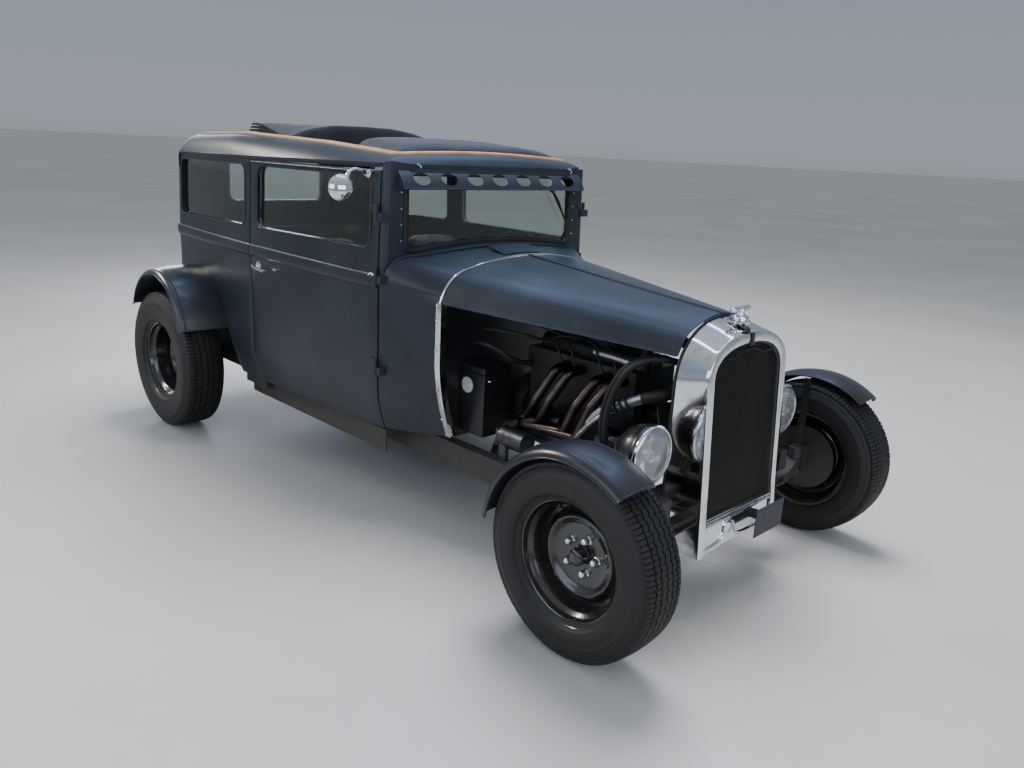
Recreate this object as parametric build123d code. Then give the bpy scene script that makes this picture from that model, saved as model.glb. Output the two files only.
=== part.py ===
from build123d import *
from math import asin, atan2, cos, degrees, hypot, radians, sin, sqrt
import os

os.makedirs("parts", exist_ok=True)

# Millimetres. X points to the car's left, Y to the rear and Z up from the ground.
# Every y below is counted from the front axle; save() moves it to the car's middle.

# Wheels and running gear
WHEELBASE = 2815
FRONT_TRACK = 1470
REAR_TRACK = 1530
FRONT_TYRE_R = 320
REAR_TYRE_R = 356
FRONT_TYRE_W = 190
REAR_TYRE_W = 218
RIM_SEAT_R = 190
RIM_FLANGE_R = 207
RIM_WALL = 5
FRONT_RIM_W = 150
REAR_RIM_W = 178
DISC_WALL = 6
LUG_CIRCLE_R = 60
LUG_R = 10
LUG_COUNT = 5
HUB_CAP_R = 34
DRUM_R = 135
DRUM_LENGTH = 48
SPINDLE_R = 17
KINGPIN_IN = 123
KINGPIN_X = FRONT_TRACK / 2 - KINGPIN_IN
KINGPIN_R = 11
AXLE_EYE_R = 24
AXLE_EYE_HALF = 42
STEER_ARM = 150
STEER_ARM_Z = FRONT_TYRE_R - 124
TIE_ROD_R = 12
FENDER_GAP = 34
FENDER_SHEET = 5
RUN = 0.05
SEAT = 0.3
MOVE_GAP = 6

# Frame
RAIL_OUT_X = 415
RAIL_W = 52
RAIL_SHEET = 7
RAIL_LOW_Z = 228
RAIL_HIGH_Z = 330
RAIL_FRONT_Y = -60
RAIL_REAR_Y = WHEELBASE + 230
REAR_RISE_Y = WHEELBASE - 485

# Body, from the windscreen back
PANEL = 40
POST_Y = 1252
POST_HALF_W = 596
DOOR_REAR_Y = WHEELBASE - 615
WIDEST = 645
QUARTER_Y = WHEELBASE + 185
QUARTER_HALF_W = 627
REAR_Y = WHEELBASE + 325
REAR_CROWN_R = 6000
CORNER_R = 125
SILL_Z = 345
TURN_UNDER = 44
TURN_TOP_Z = 560
BELT_LOW_Z = 962
BELT_HIGH_Z = 1014
BELT_PROUD = 9
WALL_TOP_Z = 1400
WALL_LEAN = 15
WINDOW_LOW_Z = 1100
WINDOW_HIGH_Z = 1374
WINDOW_CORNER = 38
DOOR_WINDOW_Y = (POST_Y + 62, DOOR_REAR_Y - 61)
QUARTER_WINDOW_Y = (DOOR_REAR_Y + 62, QUARTER_Y - 15)
REAR_WINDOW_HALF = 300
REAR_WINDOW_Z = (1150, 1368)
GLASS = 5
ARCH_GAP = 42
ARCH_R = REAR_TYRE_R + ARCH_GAP
ARCH_BACK = 230

# Cowl, hood and radiator
COWL_Y = 1016
BAND_DEPTH = 14
BAND_PROUD = 6
BAND_INSET = 24
COWL_WALL = 22
HOOD_FRONT_Y = 52
HOOD_SHEET = 3
HOOD_PIN_R = 7
SHELL_FRONT_Y = -92
SHELL_REAR_Y = 44
SHELL_HALF_W = 268
SHELL_LOW_Z = 300
SHELL_SPRING_Z = 850
SHELL_TOP_Z = 985
BEZEL = 66
APRON_LOW_Z = 190

# Roof
ROOF_SHEET = 14
SUNROOF_HALF = 445
SUNROOF_Y = (POST_Y + 70, WHEELBASE - 255)
STRIP_W = 26
STRIP_H = 7
PANEL_Y = (POST_Y + 58, POST_Y + 338)
STACK_Y = (DOOR_REAR_Y - 10, WHEELBASE - 245)

# Doors
HINGE_X = 612
HINGE_Y = 1249
HINGE_PIN_R = 4
HINGE_BARREL_R = 8
HINGE_LENGTH = 64
HINGE_Z = (624, 996, 1240)

FRONT_AXLE_Y = FRONT_TYRE_R - (FRONT_TYRE_R + WHEELBASE + REAR_TYRE_R) / 2


def save(name, *shapes):
    """Write one node: its solids, moved from the front axle to the car's middle."""
    solids = [solid for shape in shapes for solid in shape.solids()]
    whole = solids[0] if len(solids) == 1 else Compound(solids)
    export_step(Pos(0, FRONT_AXLE_Y, 0) * whole, f"parts/{name}.step")


def block(x_span, y_span, z_span):
    """Box between two corners."""
    size = [b - a for a, b in (x_span, y_span, z_span)]
    middle = [(a + b) / 2 for a, b in (x_span, y_span, z_span)]
    return Pos(*middle) * Box(*size)


def rod(start, end, radius):
    """Round bar from one point to another."""
    run = Vector(*end) - Vector(*start)
    place = Plane(origin=start, z_dir=run)
    return place * Cylinder(radius, run.length, align=(Align.CENTER, Align.CENTER, Align.MIN))


def tube(points, radius, bend):
    """Round bar along straight runs joined by tangent arcs."""
    path = FilletPolyline(*points, radius=bend)
    ring = Plane(origin=path @ 0, z_dir=path % 0) * Circle(radius)
    return sweep(ring, path=path)


def outline(start, *steps):
    """Closed flat face. A step is an end point, or a (via, end) pair for an arc."""
    edges = []
    here = start
    for step in steps:
        if isinstance(step[0], tuple):
            via, end = step
            edges.append(ThreePointArc(here, via, end))
        else:
            end = step
            edges.append(Line(here, end))
        here = end
    if here != start:
        edges.append(Line(here, start))
    return make_face(edges)


def across(face, x_span):
    """A face drawn in (y, z), extruded across the car."""
    return extrude(Plane.YZ.offset(x_span[0]) * face, x_span[1] - x_span[0])


def along(face, y_span):
    """A face drawn in (x, z), extruded along the car."""
    return extrude(Plane.XZ.offset(-y_span[1]) * face, y_span[1] - y_span[0])


def upward(face, z_span):
    """A face drawn in (x, y), extruded upward."""
    return extrude(Plane.XY.offset(z_span[0]) * face, z_span[1] - z_span[0])


def station(face, y):
    """A face drawn in (x, z), placed at one station of the car."""
    return Plane.XZ.offset(-y) * face


def mirrored(shape):
    """The other side of the car."""
    return mirror(shape, about=Plane.YZ)


def turned(face, x=0.0, y=0.0, z=0.0, start=0.0, turn=360.0):
    """A face drawn in (outboard, radius), turned about an axle on the car's right, from the rear up."""
    flat = Plane(origin=(0, 0, 0), x_dir=(-1, 0, 0), z_dir=(0, 0, -1)) * face
    return Pos(x, y, z) * (Rot(start, 0, 0) * revolve(flat, Axis.X, turn))


# The body's plan is three arcs a side: the long side, the rear corner and the crowned rear.
def circle_through(p, q, r):
    """Centre and radius of the circle through three plan points."""
    ax, ay = q[0] - p[0], q[1] - p[1]
    bx, by = r[0] - p[0], r[1] - p[1]
    cross = 2 * (ax * by - ay * bx)
    a2, b2 = ax * ax + ay * ay, bx * bx + by * by
    ux, uy = (by * a2 - ay * b2) / cross, (ax * b2 - bx * a2) / cross
    return (p[0] + ux, p[1] + uy), hypot(ux, uy)


def circles_meet(c1, r1, c2, r2):
    """The crossing of two circles that lies furthest to the car's left."""
    dx, dy = c2[0] - c1[0], c2[1] - c1[1]
    d = hypot(dx, dy)
    a = (r1 * r1 - r2 * r2 + d * d) / (2 * d)
    h = sqrt(r1 * r1 - a * a)
    mx, my = c1[0] + a * dx / d, c1[1] + a * dy / d
    return max(((mx + h * dy / d, my - h * dx / d), (mx - h * dy / d, my + h * dx / d)))


side_centre, side_r = circle_through(
    (POST_HALF_W, POST_Y), (WIDEST, DOOR_REAR_Y), (QUARTER_HALF_W, QUARTER_Y)
)
rear_centre = (0, REAR_Y - REAR_CROWN_R)
corner_centre = circles_meet(side_centre, side_r - CORNER_R, rear_centre, REAR_CROWN_R - CORNER_R)


def side_angle(y):
    """Angle of a station on the long side arc, from its centre."""
    return degrees(asin((y - side_centre[1]) / side_r))


SIDE_END = degrees(atan2(corner_centre[1] - side_centre[1], corner_centre[0] - side_centre[0]))
REAR_END = degrees(atan2(corner_centre[1] - rear_centre[1], corner_centre[0] - rear_centre[0]))


def wall(face, centre, radius, start, end):
    """A wall profile in (outward, z), turned about one of the plan's arc centres."""
    flat = Plane.XZ * (Pos(radius, 0) * face)
    return Pos(*centre, 0) * (Rot(0, 0, start) * revolve(flat, Axis.Z, end - start))


def wall_face(outer=0.0, inner=PANEL):
    """Wall profile from the turned-under sill over the belt to the leaning window band."""
    o, i = outer, -inner
    middle_z = (SILL_Z + TURN_TOP_Z) / 2
    bulge = TURN_UNDER * 0.27
    return outline(
        (o - TURN_UNDER, SILL_Z), ((o - bulge, middle_z), (o, TURN_TOP_Z)),
        (o, BELT_LOW_Z), ((o + BELT_PROUD, (BELT_LOW_Z + BELT_HIGH_Z) / 2), (o, BELT_HIGH_Z)),
        (o - WALL_LEAN, WALL_TOP_Z), (i - WALL_LEAN, WALL_TOP_Z), (i, BELT_HIGH_Z),
        (i, TURN_TOP_Z), ((i - bulge, middle_z), (i - TURN_UNDER, SILL_Z)),
    )


def plan_face(inset):
    """The body's plan, drawn in by an inset, from the windscreen post back."""
    r1, r2, r3 = side_r - inset, CORNER_R - inset, REAR_CROWN_R - inset

    def point(centre, radius, angle):
        a = radians(angle)
        return (centre[0] + radius * cos(a), centre[1] + radius * sin(a))

    start = side_angle(POST_Y)
    p0 = point(side_centre, r1, start)
    p1 = point(side_centre, r1, (start + SIDE_END) / 2)
    p2 = point(side_centre, r1, SIDE_END)
    p3 = point(corner_centre, r2, (SIDE_END + REAR_END) / 2)
    p4 = point(rear_centre, r3, REAR_END)
    left = [p0, p1, p2, p3, p4]
    right = [(-x, y) for x, y in left]
    return outline(
        p0, (p1, p2), (p3, p4), ((0, REAR_Y - inset), right[4]),
        (right[3], right[2]), (right[1], right[0]),
    )


def window(y_span, z_span, reach=900, corner=WINDOW_CORNER):
    """Rounded window cutter through the left side."""
    width, height = y_span[1] - y_span[0], z_span[1] - z_span[0]
    flat = Pos(sum(y_span) / 2, sum(z_span) / 2) * RectangleRounded(width, height, corner)
    return across(flat, (0, reach))


def pane(y_span, z_span, depth):
    """Side glass: the window band's mid surface, cut to its window with a seat gap."""
    inner = wall(outline(
        (-depth, BELT_HIGH_Z), (-depth - WALL_LEAN, WALL_TOP_Z),
        (-depth - WALL_LEAN - GLASS, WALL_TOP_Z), (-depth - GLASS, BELT_HIGH_Z),
    ), side_centre, side_r, side_angle(y_span[0] - 1), side_angle(y_span[1] + 1))
    grown_y = (y_span[0] + SEAT, y_span[1] - SEAT)
    grown_z = (z_span[0] + SEAT, z_span[1] - SEAT)
    return inner & window(grown_y, grown_z)


# Tyres and wheels are turned profiles in (outboard, radius), built on the car's right.
def tyre(tyre_r, tyre_w, rim_w):
    half, bead = tyre_w / 2, rim_w / 2 - RIM_WALL - 1
    tread = half * 0.76
    crown, shoulder = tyre_r - 5, tyre_r - 20
    seat_r = RIM_SEAT_R + SEAT
    wall_r = (seat_r + tyre_r) / 2 - 6
    lining = 13
    outer = [
        (bead, seat_r), (bead, seat_r + 20), ((half, wall_r), (half - 6, shoulder)),
        (tread, crown), ((0, tyre_r), (-tread, crown)), (6 - half, shoulder),
        ((-half, wall_r), (-bead, seat_r + 20)), (-bead, seat_r),
    ]
    inner = [
        (lining - bead, seat_r), (lining - bead, seat_r + 18), (lining - half, wall_r),
        (12 - tread, crown - lining), (tread - 12, crown - lining),
        (half - lining, wall_r), (bead - lining, seat_r + 18), (bead - lining, seat_r),
    ]
    return outline(*outer, *inner)


def wheel(rim_w, disc_out, dish):
    """Steel wheel: drop-centre rim, dished disc, hub tube and brake drum."""
    half = rim_w / 2
    seat, well, flange, w = RIM_SEAT_R, RIM_SEAT_R - 18, RIM_FLANGE_R, RIM_WALL
    rim = outline(
        (half, flange), (half - w, flange), (half - w, seat), (half - 38, seat), (half - 48, well),
        (48 - half, well), (38 - half, seat), (w - half, seat), (w - half, flange), (-half, flange),
        (-half, seat - w), (38 - half, seat - w), (48 - half, well - w), (half - 48, well - w),
        (half - 38, seat - w), (half, seat - w),
    )
    ring_r = well - w
    d = DISC_WALL
    disc = outline(
        (disc_out, ring_r), (disc_out - dish, ring_r - 22), (disc_out - dish, ring_r - 48),
        (disc_out, LUG_CIRCLE_R + 22), (disc_out, HUB_CAP_R - 6),
        (disc_out - d, HUB_CAP_R - 6), (disc_out - d, LUG_CIRCLE_R + 20),
        (disc_out - dish - d, ring_r - 50), (disc_out - dish - d, ring_r - 20),
        (disc_out - d, ring_r),
    )
    return rim, disc


def wheel_set(track, rim_w, disc_out, dish, hub_z, hub_y):
    """One wheel on the car's right, with its drum, hub, cap and lug nuts."""
    rim, disc = wheel(rim_w, disc_out, dish)
    x = -track / 2
    face = disc_out - DISC_WALL
    drum_out = face
    drum = outline(
        (drum_out, SPINDLE_R + RUN), (drum_out, DRUM_R * 0.7), (drum_out - 14, DRUM_R),
        (drum_out - DRUM_LENGTH, DRUM_R), (drum_out - DRUM_LENGTH, DRUM_R - 8),
        (drum_out - 20, DRUM_R - 8), (drum_out - 20, SPINDLE_R + 18),
        (drum_out - DRUM_LENGTH, SPINDLE_R + 18), (drum_out - DRUM_LENGTH, SPINDLE_R + RUN),
    )
    cap = outline(
        (face, 0), (face, HUB_CAP_R), (disc_out + 16, HUB_CAP_R - 2),
        ((disc_out + 25, HUB_CAP_R * 0.68), (disc_out + 28, HUB_CAP_R * 0.3)), (disc_out + 28, 0),
    )
    body = turned(rim) + turned(disc) + turned(drum) + turned(cap)
    for k in range(LUG_COUNT):
        a = radians(90 + 360 * k / LUG_COUNT)
        y, z = LUG_CIRCLE_R * cos(a), LUG_CIRCLE_R * sin(a)
        body += rod((-face, y, z), (-disc_out - 18, y, z), LUG_R)
    return Pos(x, hub_y, hub_z) * body


FRONT_DISC_OUT = 12
REAR_DISC_OUT = -12
FRONT_DISH = 14
REAR_DISH = 16
front_wheel = wheel_set(FRONT_TRACK, FRONT_RIM_W, FRONT_DISC_OUT, FRONT_DISH, FRONT_TYRE_R, 0)
rear_wheel = wheel_set(REAR_TRACK, REAR_RIM_W, REAR_DISC_OUT, REAR_DISH, REAR_TYRE_R, WHEELBASE)
front_tyre = turned(tyre(FRONT_TYRE_R, FRONT_TYRE_W, FRONT_RIM_W), -FRONT_TRACK / 2, 0, FRONT_TYRE_R)
rear_tyre = turned(
    tyre(REAR_TYRE_R, REAR_TYRE_W, REAR_RIM_W), -REAR_TRACK / 2, WHEELBASE, REAR_TYRE_R
)
for place, wheel_solid, tyre_solid in (
    ("front", front_wheel, front_tyre), ("rear", rear_wheel, rear_tyre)
):
    save(f"wheel_{place}_right", wheel_solid)
    save(f"wheel_{place}_left", mirrored(wheel_solid))
    save(f"tyre_{place}_right", tyre_solid)
    save(f"tyre_{place}_left", mirrored(tyre_solid))

# Knuckle on the right: kingpin in the axle's eye, spindle, backing plate and steering arm
BACK_PLATE = 4
YOKE = 16
EYE_GAP = 0.5
ARM_EYE_R = 16
ARM_EYE_HALF = 8
TIE_PIN_R = 6
hub_z = FRONT_TYRE_R
spindle_end_x = FRONT_TRACK / 2 + FRONT_DISC_OUT - DISC_WALL - 1
plate_x = FRONT_TRACK / 2 - (DRUM_LENGTH - FRONT_DISC_OUT + DISC_WALL) - MOVE_GAP
yoke_low, yoke_high = hub_z - AXLE_EYE_HALF, hub_z + AXLE_EYE_HALF
web_x = KINGPIN_X + AXLE_EYE_R + MOVE_GAP
knuckle = rod((-KINGPIN_X, 0, yoke_low - YOKE), (-KINGPIN_X, 0, yoke_high + YOKE), KINGPIN_R)
for low, high in ((yoke_low - YOKE, yoke_low - EYE_GAP), (yoke_high + EYE_GAP, yoke_high + YOKE)):
    knuckle += rod((-KINGPIN_X, 0, low), (-KINGPIN_X, 0, high), AXLE_EYE_R)
    knuckle += block((-web_x - 4, -KINGPIN_X), (-AXLE_EYE_R, AXLE_EYE_R), (low, high))
knuckle += block((-plate_x, -web_x), (-AXLE_EYE_R, AXLE_EYE_R), (yoke_low - YOKE, yoke_high + YOKE))
knuckle += rod((-plate_x + BACK_PLATE, 0, hub_z), (-plate_x, 0, hub_z), DRUM_R)
knuckle += rod((-plate_x + 1, 0, hub_z), (-spindle_end_x, 0, hub_z), SPINDLE_R)
arm_low, arm_high = STEER_ARM_Z - ARM_EYE_HALF, STEER_ARM_Z + ARM_EYE_HALF
arm_start = (-KINGPIN_X, AXLE_EYE_R / 2, yoke_low - YOKE / 2)
knuckle += rod((-KINGPIN_X, STEER_ARM, arm_low), (-KINGPIN_X, STEER_ARM, arm_high), ARM_EYE_R)
knuckle += rod(arm_start, (-KINGPIN_X, STEER_ARM - 4, STEER_ARM_Z), ARM_EYE_HALF)
TIE_EYE_HALF = TIE_ROD_R + 2
tie_low = arm_low - SEAT - 2 * TIE_EYE_HALF
pin_end = tie_low - ARM_EYE_HALF
knuckle += rod((-KINGPIN_X, STEER_ARM, pin_end), (-KINGPIN_X, STEER_ARM, arm_low), TIE_PIN_R)

# The fender's stay rises inside the tyre from the yoke's top
FENDER_IN = 105
FENDER_OUT = 106
FENDER_START = 9
FENDER_TURN = 116
fender_r = FRONT_TYRE_R + FENDER_GAP
stay_x = FRONT_TRACK / 2 - FRONT_TYRE_W / 2 - MOVE_GAP
STAY_SHEET = 5
STAY_HALF = 14
fender_face = outline(
    (-FENDER_IN, fender_r), ((0, fender_r + 14), (FENDER_OUT - 16, fender_r + 4)),
    ((FENDER_OUT - 4, fender_r - 4), (FENDER_OUT, fender_r - 18)),
    (FENDER_OUT - FENDER_SHEET, fender_r - 18),
    ((FENDER_OUT - 9, fender_r - 7), (FENDER_OUT - 18, fender_r - 1)),
    ((0, fender_r + 14 - FENDER_SHEET), (-FENDER_IN, fender_r - FENDER_SHEET)),
)
front_fender = turned(
    fender_face, -FRONT_TRACK / 2, 0, hub_z, FENDER_START, FENDER_TURN
)
knuckle += block((-stay_x, -KINGPIN_X), (-STAY_HALF, STAY_HALF), (yoke_high + YOKE - 2, yoke_high + YOKE + 6))
stay_z = (yoke_high + YOKE, hub_z + fender_r - FENDER_SHEET - SEAT)
knuckle += block((-stay_x, STAY_SHEET - stay_x), (-STAY_HALF, STAY_HALF), stay_z)
for side, flip in (("right", lambda s: s), ("left", mirrored)):
    save(f"knuckle_{side}", flip(knuckle))
    save(f"front_fender_{side}", flip(front_fender))

# Tie rod: running eye on the right arm, wide open eye on the left one
TIE_EYE_OPEN = 3
tie_z = tie_low + TIE_EYE_HALF
tie_rod = rod((-KINGPIN_X + 10, STEER_ARM, tie_z), (KINGPIN_X - 10, STEER_ARM, tie_z), TIE_ROD_R)
for x in (-KINGPIN_X, KINGPIN_X):
    tie_rod += rod((x, STEER_ARM, tie_low), (x, STEER_ARM, tie_low + 2 * TIE_EYE_HALF), ARM_EYE_R + 2)
for x, hole in ((-KINGPIN_X, TIE_PIN_R + RUN), (KINGPIN_X, TIE_PIN_R + TIE_EYE_OPEN)):
    tie_rod -= rod((x, STEER_ARM, tie_low - 20), (x, STEER_ARM, tie_low + 40), hole)
save("tie_rod", tie_rod)

# Dropped front axle: a forged beam with pockets and an upright eye at each end
BEAM_Z = hub_z - 48
BEAM_H = 44
BEAM_HALF_Y = 24
DROP_X = KINGPIN_X - 92
beam = along(outline(
    (-KINGPIN_X, hub_z - 20), (-DROP_X, BEAM_Z - BEAM_H / 2), (DROP_X, BEAM_Z - BEAM_H / 2),
    (KINGPIN_X, hub_z - 20), (KINGPIN_X, hub_z + 20), (DROP_X, BEAM_Z + BEAM_H / 2),
    (-DROP_X, BEAM_Z + BEAM_H / 2), (-KINGPIN_X, hub_z + 20),
), (-BEAM_HALF_Y, BEAM_HALF_Y))
for y_span in ((-BEAM_HALF_Y - 1, -8), (8, BEAM_HALF_Y + 1)):
    beam -= block((-DROP_X + 30, DROP_X - 30), y_span, (BEAM_Z - 13, BEAM_Z + 13))
for x in (-KINGPIN_X, KINGPIN_X):
    beam += rod((x, 0, yoke_low), (x, 0, yoke_high), AXLE_EYE_R)
for x in (-KINGPIN_X, KINGPIN_X):
    beam -= rod((x, 0, yoke_low - 5), (x, 0, yoke_high + 5), KINGPIN_R + RUN)
save("front_axle", beam)

# Rear axle: tube, differential and spindles
AXLE_TUBE_R = 38
DIFF_R = 128
rear_x = REAR_TRACK / 2
rear_plate_x = rear_x - (DRUM_LENGTH - REAR_DISC_OUT + DISC_WALL) - MOVE_GAP
rear_spindle_x = rear_x + REAR_DISC_OUT - DISC_WALL - 1
at_rear = (WHEELBASE, REAR_TYRE_R)
rear_axle = rod((-rear_plate_x, *at_rear), (rear_plate_x, *at_rear), AXLE_TUBE_R)
rear_axle += rod((-rear_spindle_x, *at_rear), (rear_spindle_x, *at_rear), SPINDLE_R)
for x in (-rear_plate_x, rear_plate_x - BACK_PLATE):
    rear_axle += rod((x, *at_rear), (x + BACK_PLATE, *at_rear), DRUM_R)
rear_axle += Pos(0, *at_rear) * Sphere(DIFF_R)
rear_axle += rod((0, WHEELBASE - 260, REAR_TYRE_R), (0, WHEELBASE, REAR_TYRE_R), 52)
save("rear_axle", rear_axle)

# Frame: two channel rails that rise over both axles, with crossmembers
FRONT_RAIL_Z = (FRONT_TYRE_R + 28, FRONT_TYRE_R + 104)
REAR_RAIL_Z = (REAR_TYRE_R + 72, REAR_TYRE_R + 154)
REAR_BEND = 260
rail_path = outline(
    (RAIL_FRONT_Y, FRONT_RAIL_Z[0]), (330, FRONT_RAIL_Z[0]), (620, RAIL_LOW_Z), (REAR_RISE_Y, RAIL_LOW_Z),
    (REAR_RISE_Y + REAR_BEND, REAR_RAIL_Z[0]), (RAIL_REAR_Y, REAR_RAIL_Z[0]), (RAIL_REAR_Y, REAR_RAIL_Z[1]),
    (REAR_RISE_Y + REAR_BEND - 50, REAR_RAIL_Z[1]), (REAR_RISE_Y - 40, RAIL_HIGH_Z), (660, RAIL_HIGH_Z),
    (370, FRONT_RAIL_Z[1]), (RAIL_FRONT_Y, FRONT_RAIL_Z[1]),
)
rail = across(rail_path, (-RAIL_OUT_X, RAIL_W - RAIL_OUT_X))
pocket = across(offset(rail_path, -RAIL_SHEET), (RAIL_SHEET - RAIL_OUT_X, RAIL_W - RAIL_OUT_X + 1))
rail -= pocket
cross_x = RAIL_OUT_X - RAIL_SHEET / 2
CROSS_HALF = 25
CROSS_H = 38
REAR_SPRING_BACK = 155
FIRST_CROSS_Y = 640
frame = rail + mirrored(rail)
crossmembers = (  # y, low z, high z
    (75, FRONT_RAIL_Z[0], FRONT_RAIL_Z[0] + CROSS_H), (FIRST_CROSS_Y, 250, 290), (1500, 250, 290),
    (REAR_RISE_Y - 40, 250, 290), (WHEELBASE + REAR_SPRING_BACK, REAR_RAIL_Z[0], REAR_RAIL_Z[0] + CROSS_H),
)
for y, low, high in crossmembers:
    frame += block((-cross_x, cross_x), (y - CROSS_HALF, y + CROSS_HALF), (low, high))
save("frame_rails", frame)


def leaf_pack(half_span, end_z, middle_z, y_span, leaves, leaf):
    """Transverse spring: arched leaves on one centre, each shorter than the one above it."""
    rise = middle_z - end_z
    radius = (half_span ** 2 + rise ** 2) / (2 * rise)
    centre = (0, middle_z - radius)
    pack = None
    for k in range(leaves):
        x = half_span * (1 - k / (leaves + 1))
        ring = Circle(radius - k * leaf) - Circle(radius - (k + 1) * leaf)
        one = along(Pos(*centre) * ring, y_span) & block((-x, x), y_span, (0, middle_z + 1))
        pack = one if pack is None else pack + one
    return pack


LEAF = 8
PERCH_HALF = 12
FRONT_SPRING_Y = (53, 97)
FRONT_SPRING_HALF = KINGPIN_X - 142
FRONT_SPRING_END_Z = hub_z - 12
REAR_SPRING_Y = (WHEELBASE + REAR_SPRING_BACK - 22, WHEELBASE + REAR_SPRING_BACK + 22)
REAR_SPRING_HALF = 540
REAR_SPRING_END_Z = REAR_TYRE_R + 40
front_spring = leaf_pack(
    FRONT_SPRING_HALF, FRONT_SPRING_END_Z, FRONT_RAIL_Z[0] - SEAT, FRONT_SPRING_Y, 4, LEAF
)
rear_spring = leaf_pack(
    REAR_SPRING_HALF, REAR_SPRING_END_Z, REAR_RAIL_Z[0] - SEAT, REAR_SPRING_Y, 4, LEAF
)
for x in (PERCH_HALF - FRONT_SPRING_HALF, FRONT_SPRING_HALF - PERCH_HALF):
    front_spring += block(
        (x - PERCH_HALF, x + PERCH_HALF), (BEAM_HALF_Y + SEAT, FRONT_SPRING_Y[1]),
        (BEAM_Z, FRONT_SPRING_END_Z - 2),
    )
for x in (PERCH_HALF - REAR_SPRING_HALF, REAR_SPRING_HALF - PERCH_HALF):
    rear_spring += block(
        (x - PERCH_HALF, x + PERCH_HALF), (WHEELBASE, REAR_SPRING_Y[1]),
        (REAR_TYRE_R - 8, REAR_SPRING_END_Z - 2),
    )
rear_spring -= rod((-700, *at_rear), (700, *at_rear), AXLE_TUBE_R + SEAT)
save("leaf_springs", front_spring, rear_spring)

# Radius rods run back and in from the axle to the first crossmember
ROD_R = 13
ROD_Z = hub_z - 54
ROD_X = KINGPIN_X - 184
rods = []
for side in (-1, 1):
    one = rod((side * ROD_X, 0, ROD_Z), (side * 300, FIRST_CROSS_Y, ROD_Z + 2), ROD_R)
    one -= block((-500, 500), (-50, BEAM_HALF_Y + SEAT), (200, 330))
    one -= block((-500, 500), (FIRST_CROSS_Y - CROSS_HALF - SEAT, FIRST_CROSS_Y + 50), (200, 330))
    rods.append(one)
save("radius_rods", *rods)

# Body walls: doors, quarter panels with their rear corners, and the rear panel
window_z = (WINDOW_LOW_Z, WINDOW_HIGH_Z)
side_face = wall_face()
door_wall = wall(
    side_face, side_centre, side_r, side_angle(POST_Y + MOVE_GAP), side_angle(DOOR_REAR_Y)
)
door = door_wall - window(DOOR_WINDOW_Y, window_z)
quarter = wall(side_face, side_centre, side_r, side_angle(DOOR_REAR_Y + MOVE_GAP), SIDE_END)
quarter += wall(side_face, corner_centre, CORNER_R, SIDE_END, REAR_END)
quarter -= window(QUARTER_WINDOW_Y, window_z)
diagonal = ARCH_R * sqrt(0.5)
arch_face = outline(
    (WHEELBASE - ARCH_R, SILL_Z - 60), (WHEELBASE - ARCH_R, REAR_TYRE_R),
    ((WHEELBASE - diagonal, REAR_TYRE_R + diagonal), (WHEELBASE, REAR_TYRE_R + ARCH_R)),
    ((WHEELBASE + 165, REAR_TYRE_R + 359), (WHEELBASE + ARCH_BACK, REAR_TYRE_R + 244)),
    (WHEELBASE + ARCH_BACK, SILL_Z - 60),
)
quarter -= across(arch_face, (0, 900))
rear_wall = wall(side_face, rear_centre, REAR_CROWN_R, REAR_END, 180 - REAR_END)
rear_opening = Pos(0, sum(REAR_WINDOW_Z) / 2) * RectangleRounded(
    2 * REAR_WINDOW_HALF, REAR_WINDOW_Z[1] - REAR_WINDOW_Z[0], WINDOW_CORNER
)
rear_wall -= along(rear_opening, (REAR_Y - 200, REAR_Y + 50))
save("quarter_panels", quarter, mirrored(quarter))
save("rear_panel", rear_wall)

# Side glass and rear glass stand in the middle of their walls
GLASS_DEPTH = 16
door_glass = pane(DOOR_WINDOW_Y, window_z, GLASS_DEPTH)
quarter_glass = pane(QUARTER_WINDOW_Y, window_z, GLASS_DEPTH)
grown = offset(rear_opening, -SEAT)
rear_glass = wall(outline(
    (-GLASS_DEPTH, BELT_HIGH_Z), (-GLASS_DEPTH - WALL_LEAN, WALL_TOP_Z),
    (-GLASS_DEPTH - WALL_LEAN - GLASS, WALL_TOP_Z), (-GLASS_DEPTH - GLASS, BELT_HIGH_Z),
), rear_centre, REAR_CROWN_R, REAR_END + 1, 179 - REAR_END)
rear_glass &= along(grown, (REAR_Y - 200, REAR_Y + 50))

# Cowl and hood sections, from the side's turn-under over the shoulder to the crown
# Each row: low x, bulge x and z, side x and z, crease z, shoulder x and z, top x and z, crown z
section_table = {
    "post": (-556, -588, 450, -596, 560, 985, -574, 1046, -486, 1080, 1114),
    "cowl": (-406, -452, 490, -476, 640, 905, -436, 984, -330, 1036, 1074),
}


def body_section(name, inset, low_z):
    """Closed cowl section, drawn in by an inset and reaching down to low z."""
    lx, bx, bz, sx, sz, cz, hx, hz, tx, tz, top = section_table[name]
    n = inset
    left = [(lx + n, low_z), (bx + n, bz), (sx + n, sz), (sx + n, cz), (hx + n * 0.8, hz - n * 0.6),
            (tx + n * 0.3, tz - n)]
    right = [(-x, z) for x, z in left]
    return outline(
        left[0], (left[1], left[2]), left[3], (left[4], left[5]), ((0, top - n), right[5]),
        (right[4], right[3]), right[2], (right[1], right[0]),
    )


def cowl_loft(inset, low_z, grow=0.0):
    return loft([
        station(body_section("cowl", inset, low_z), COWL_Y - grow),
        station(body_section("post", inset, low_z), POST_Y + grow),
    ], ruled=True)


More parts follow.
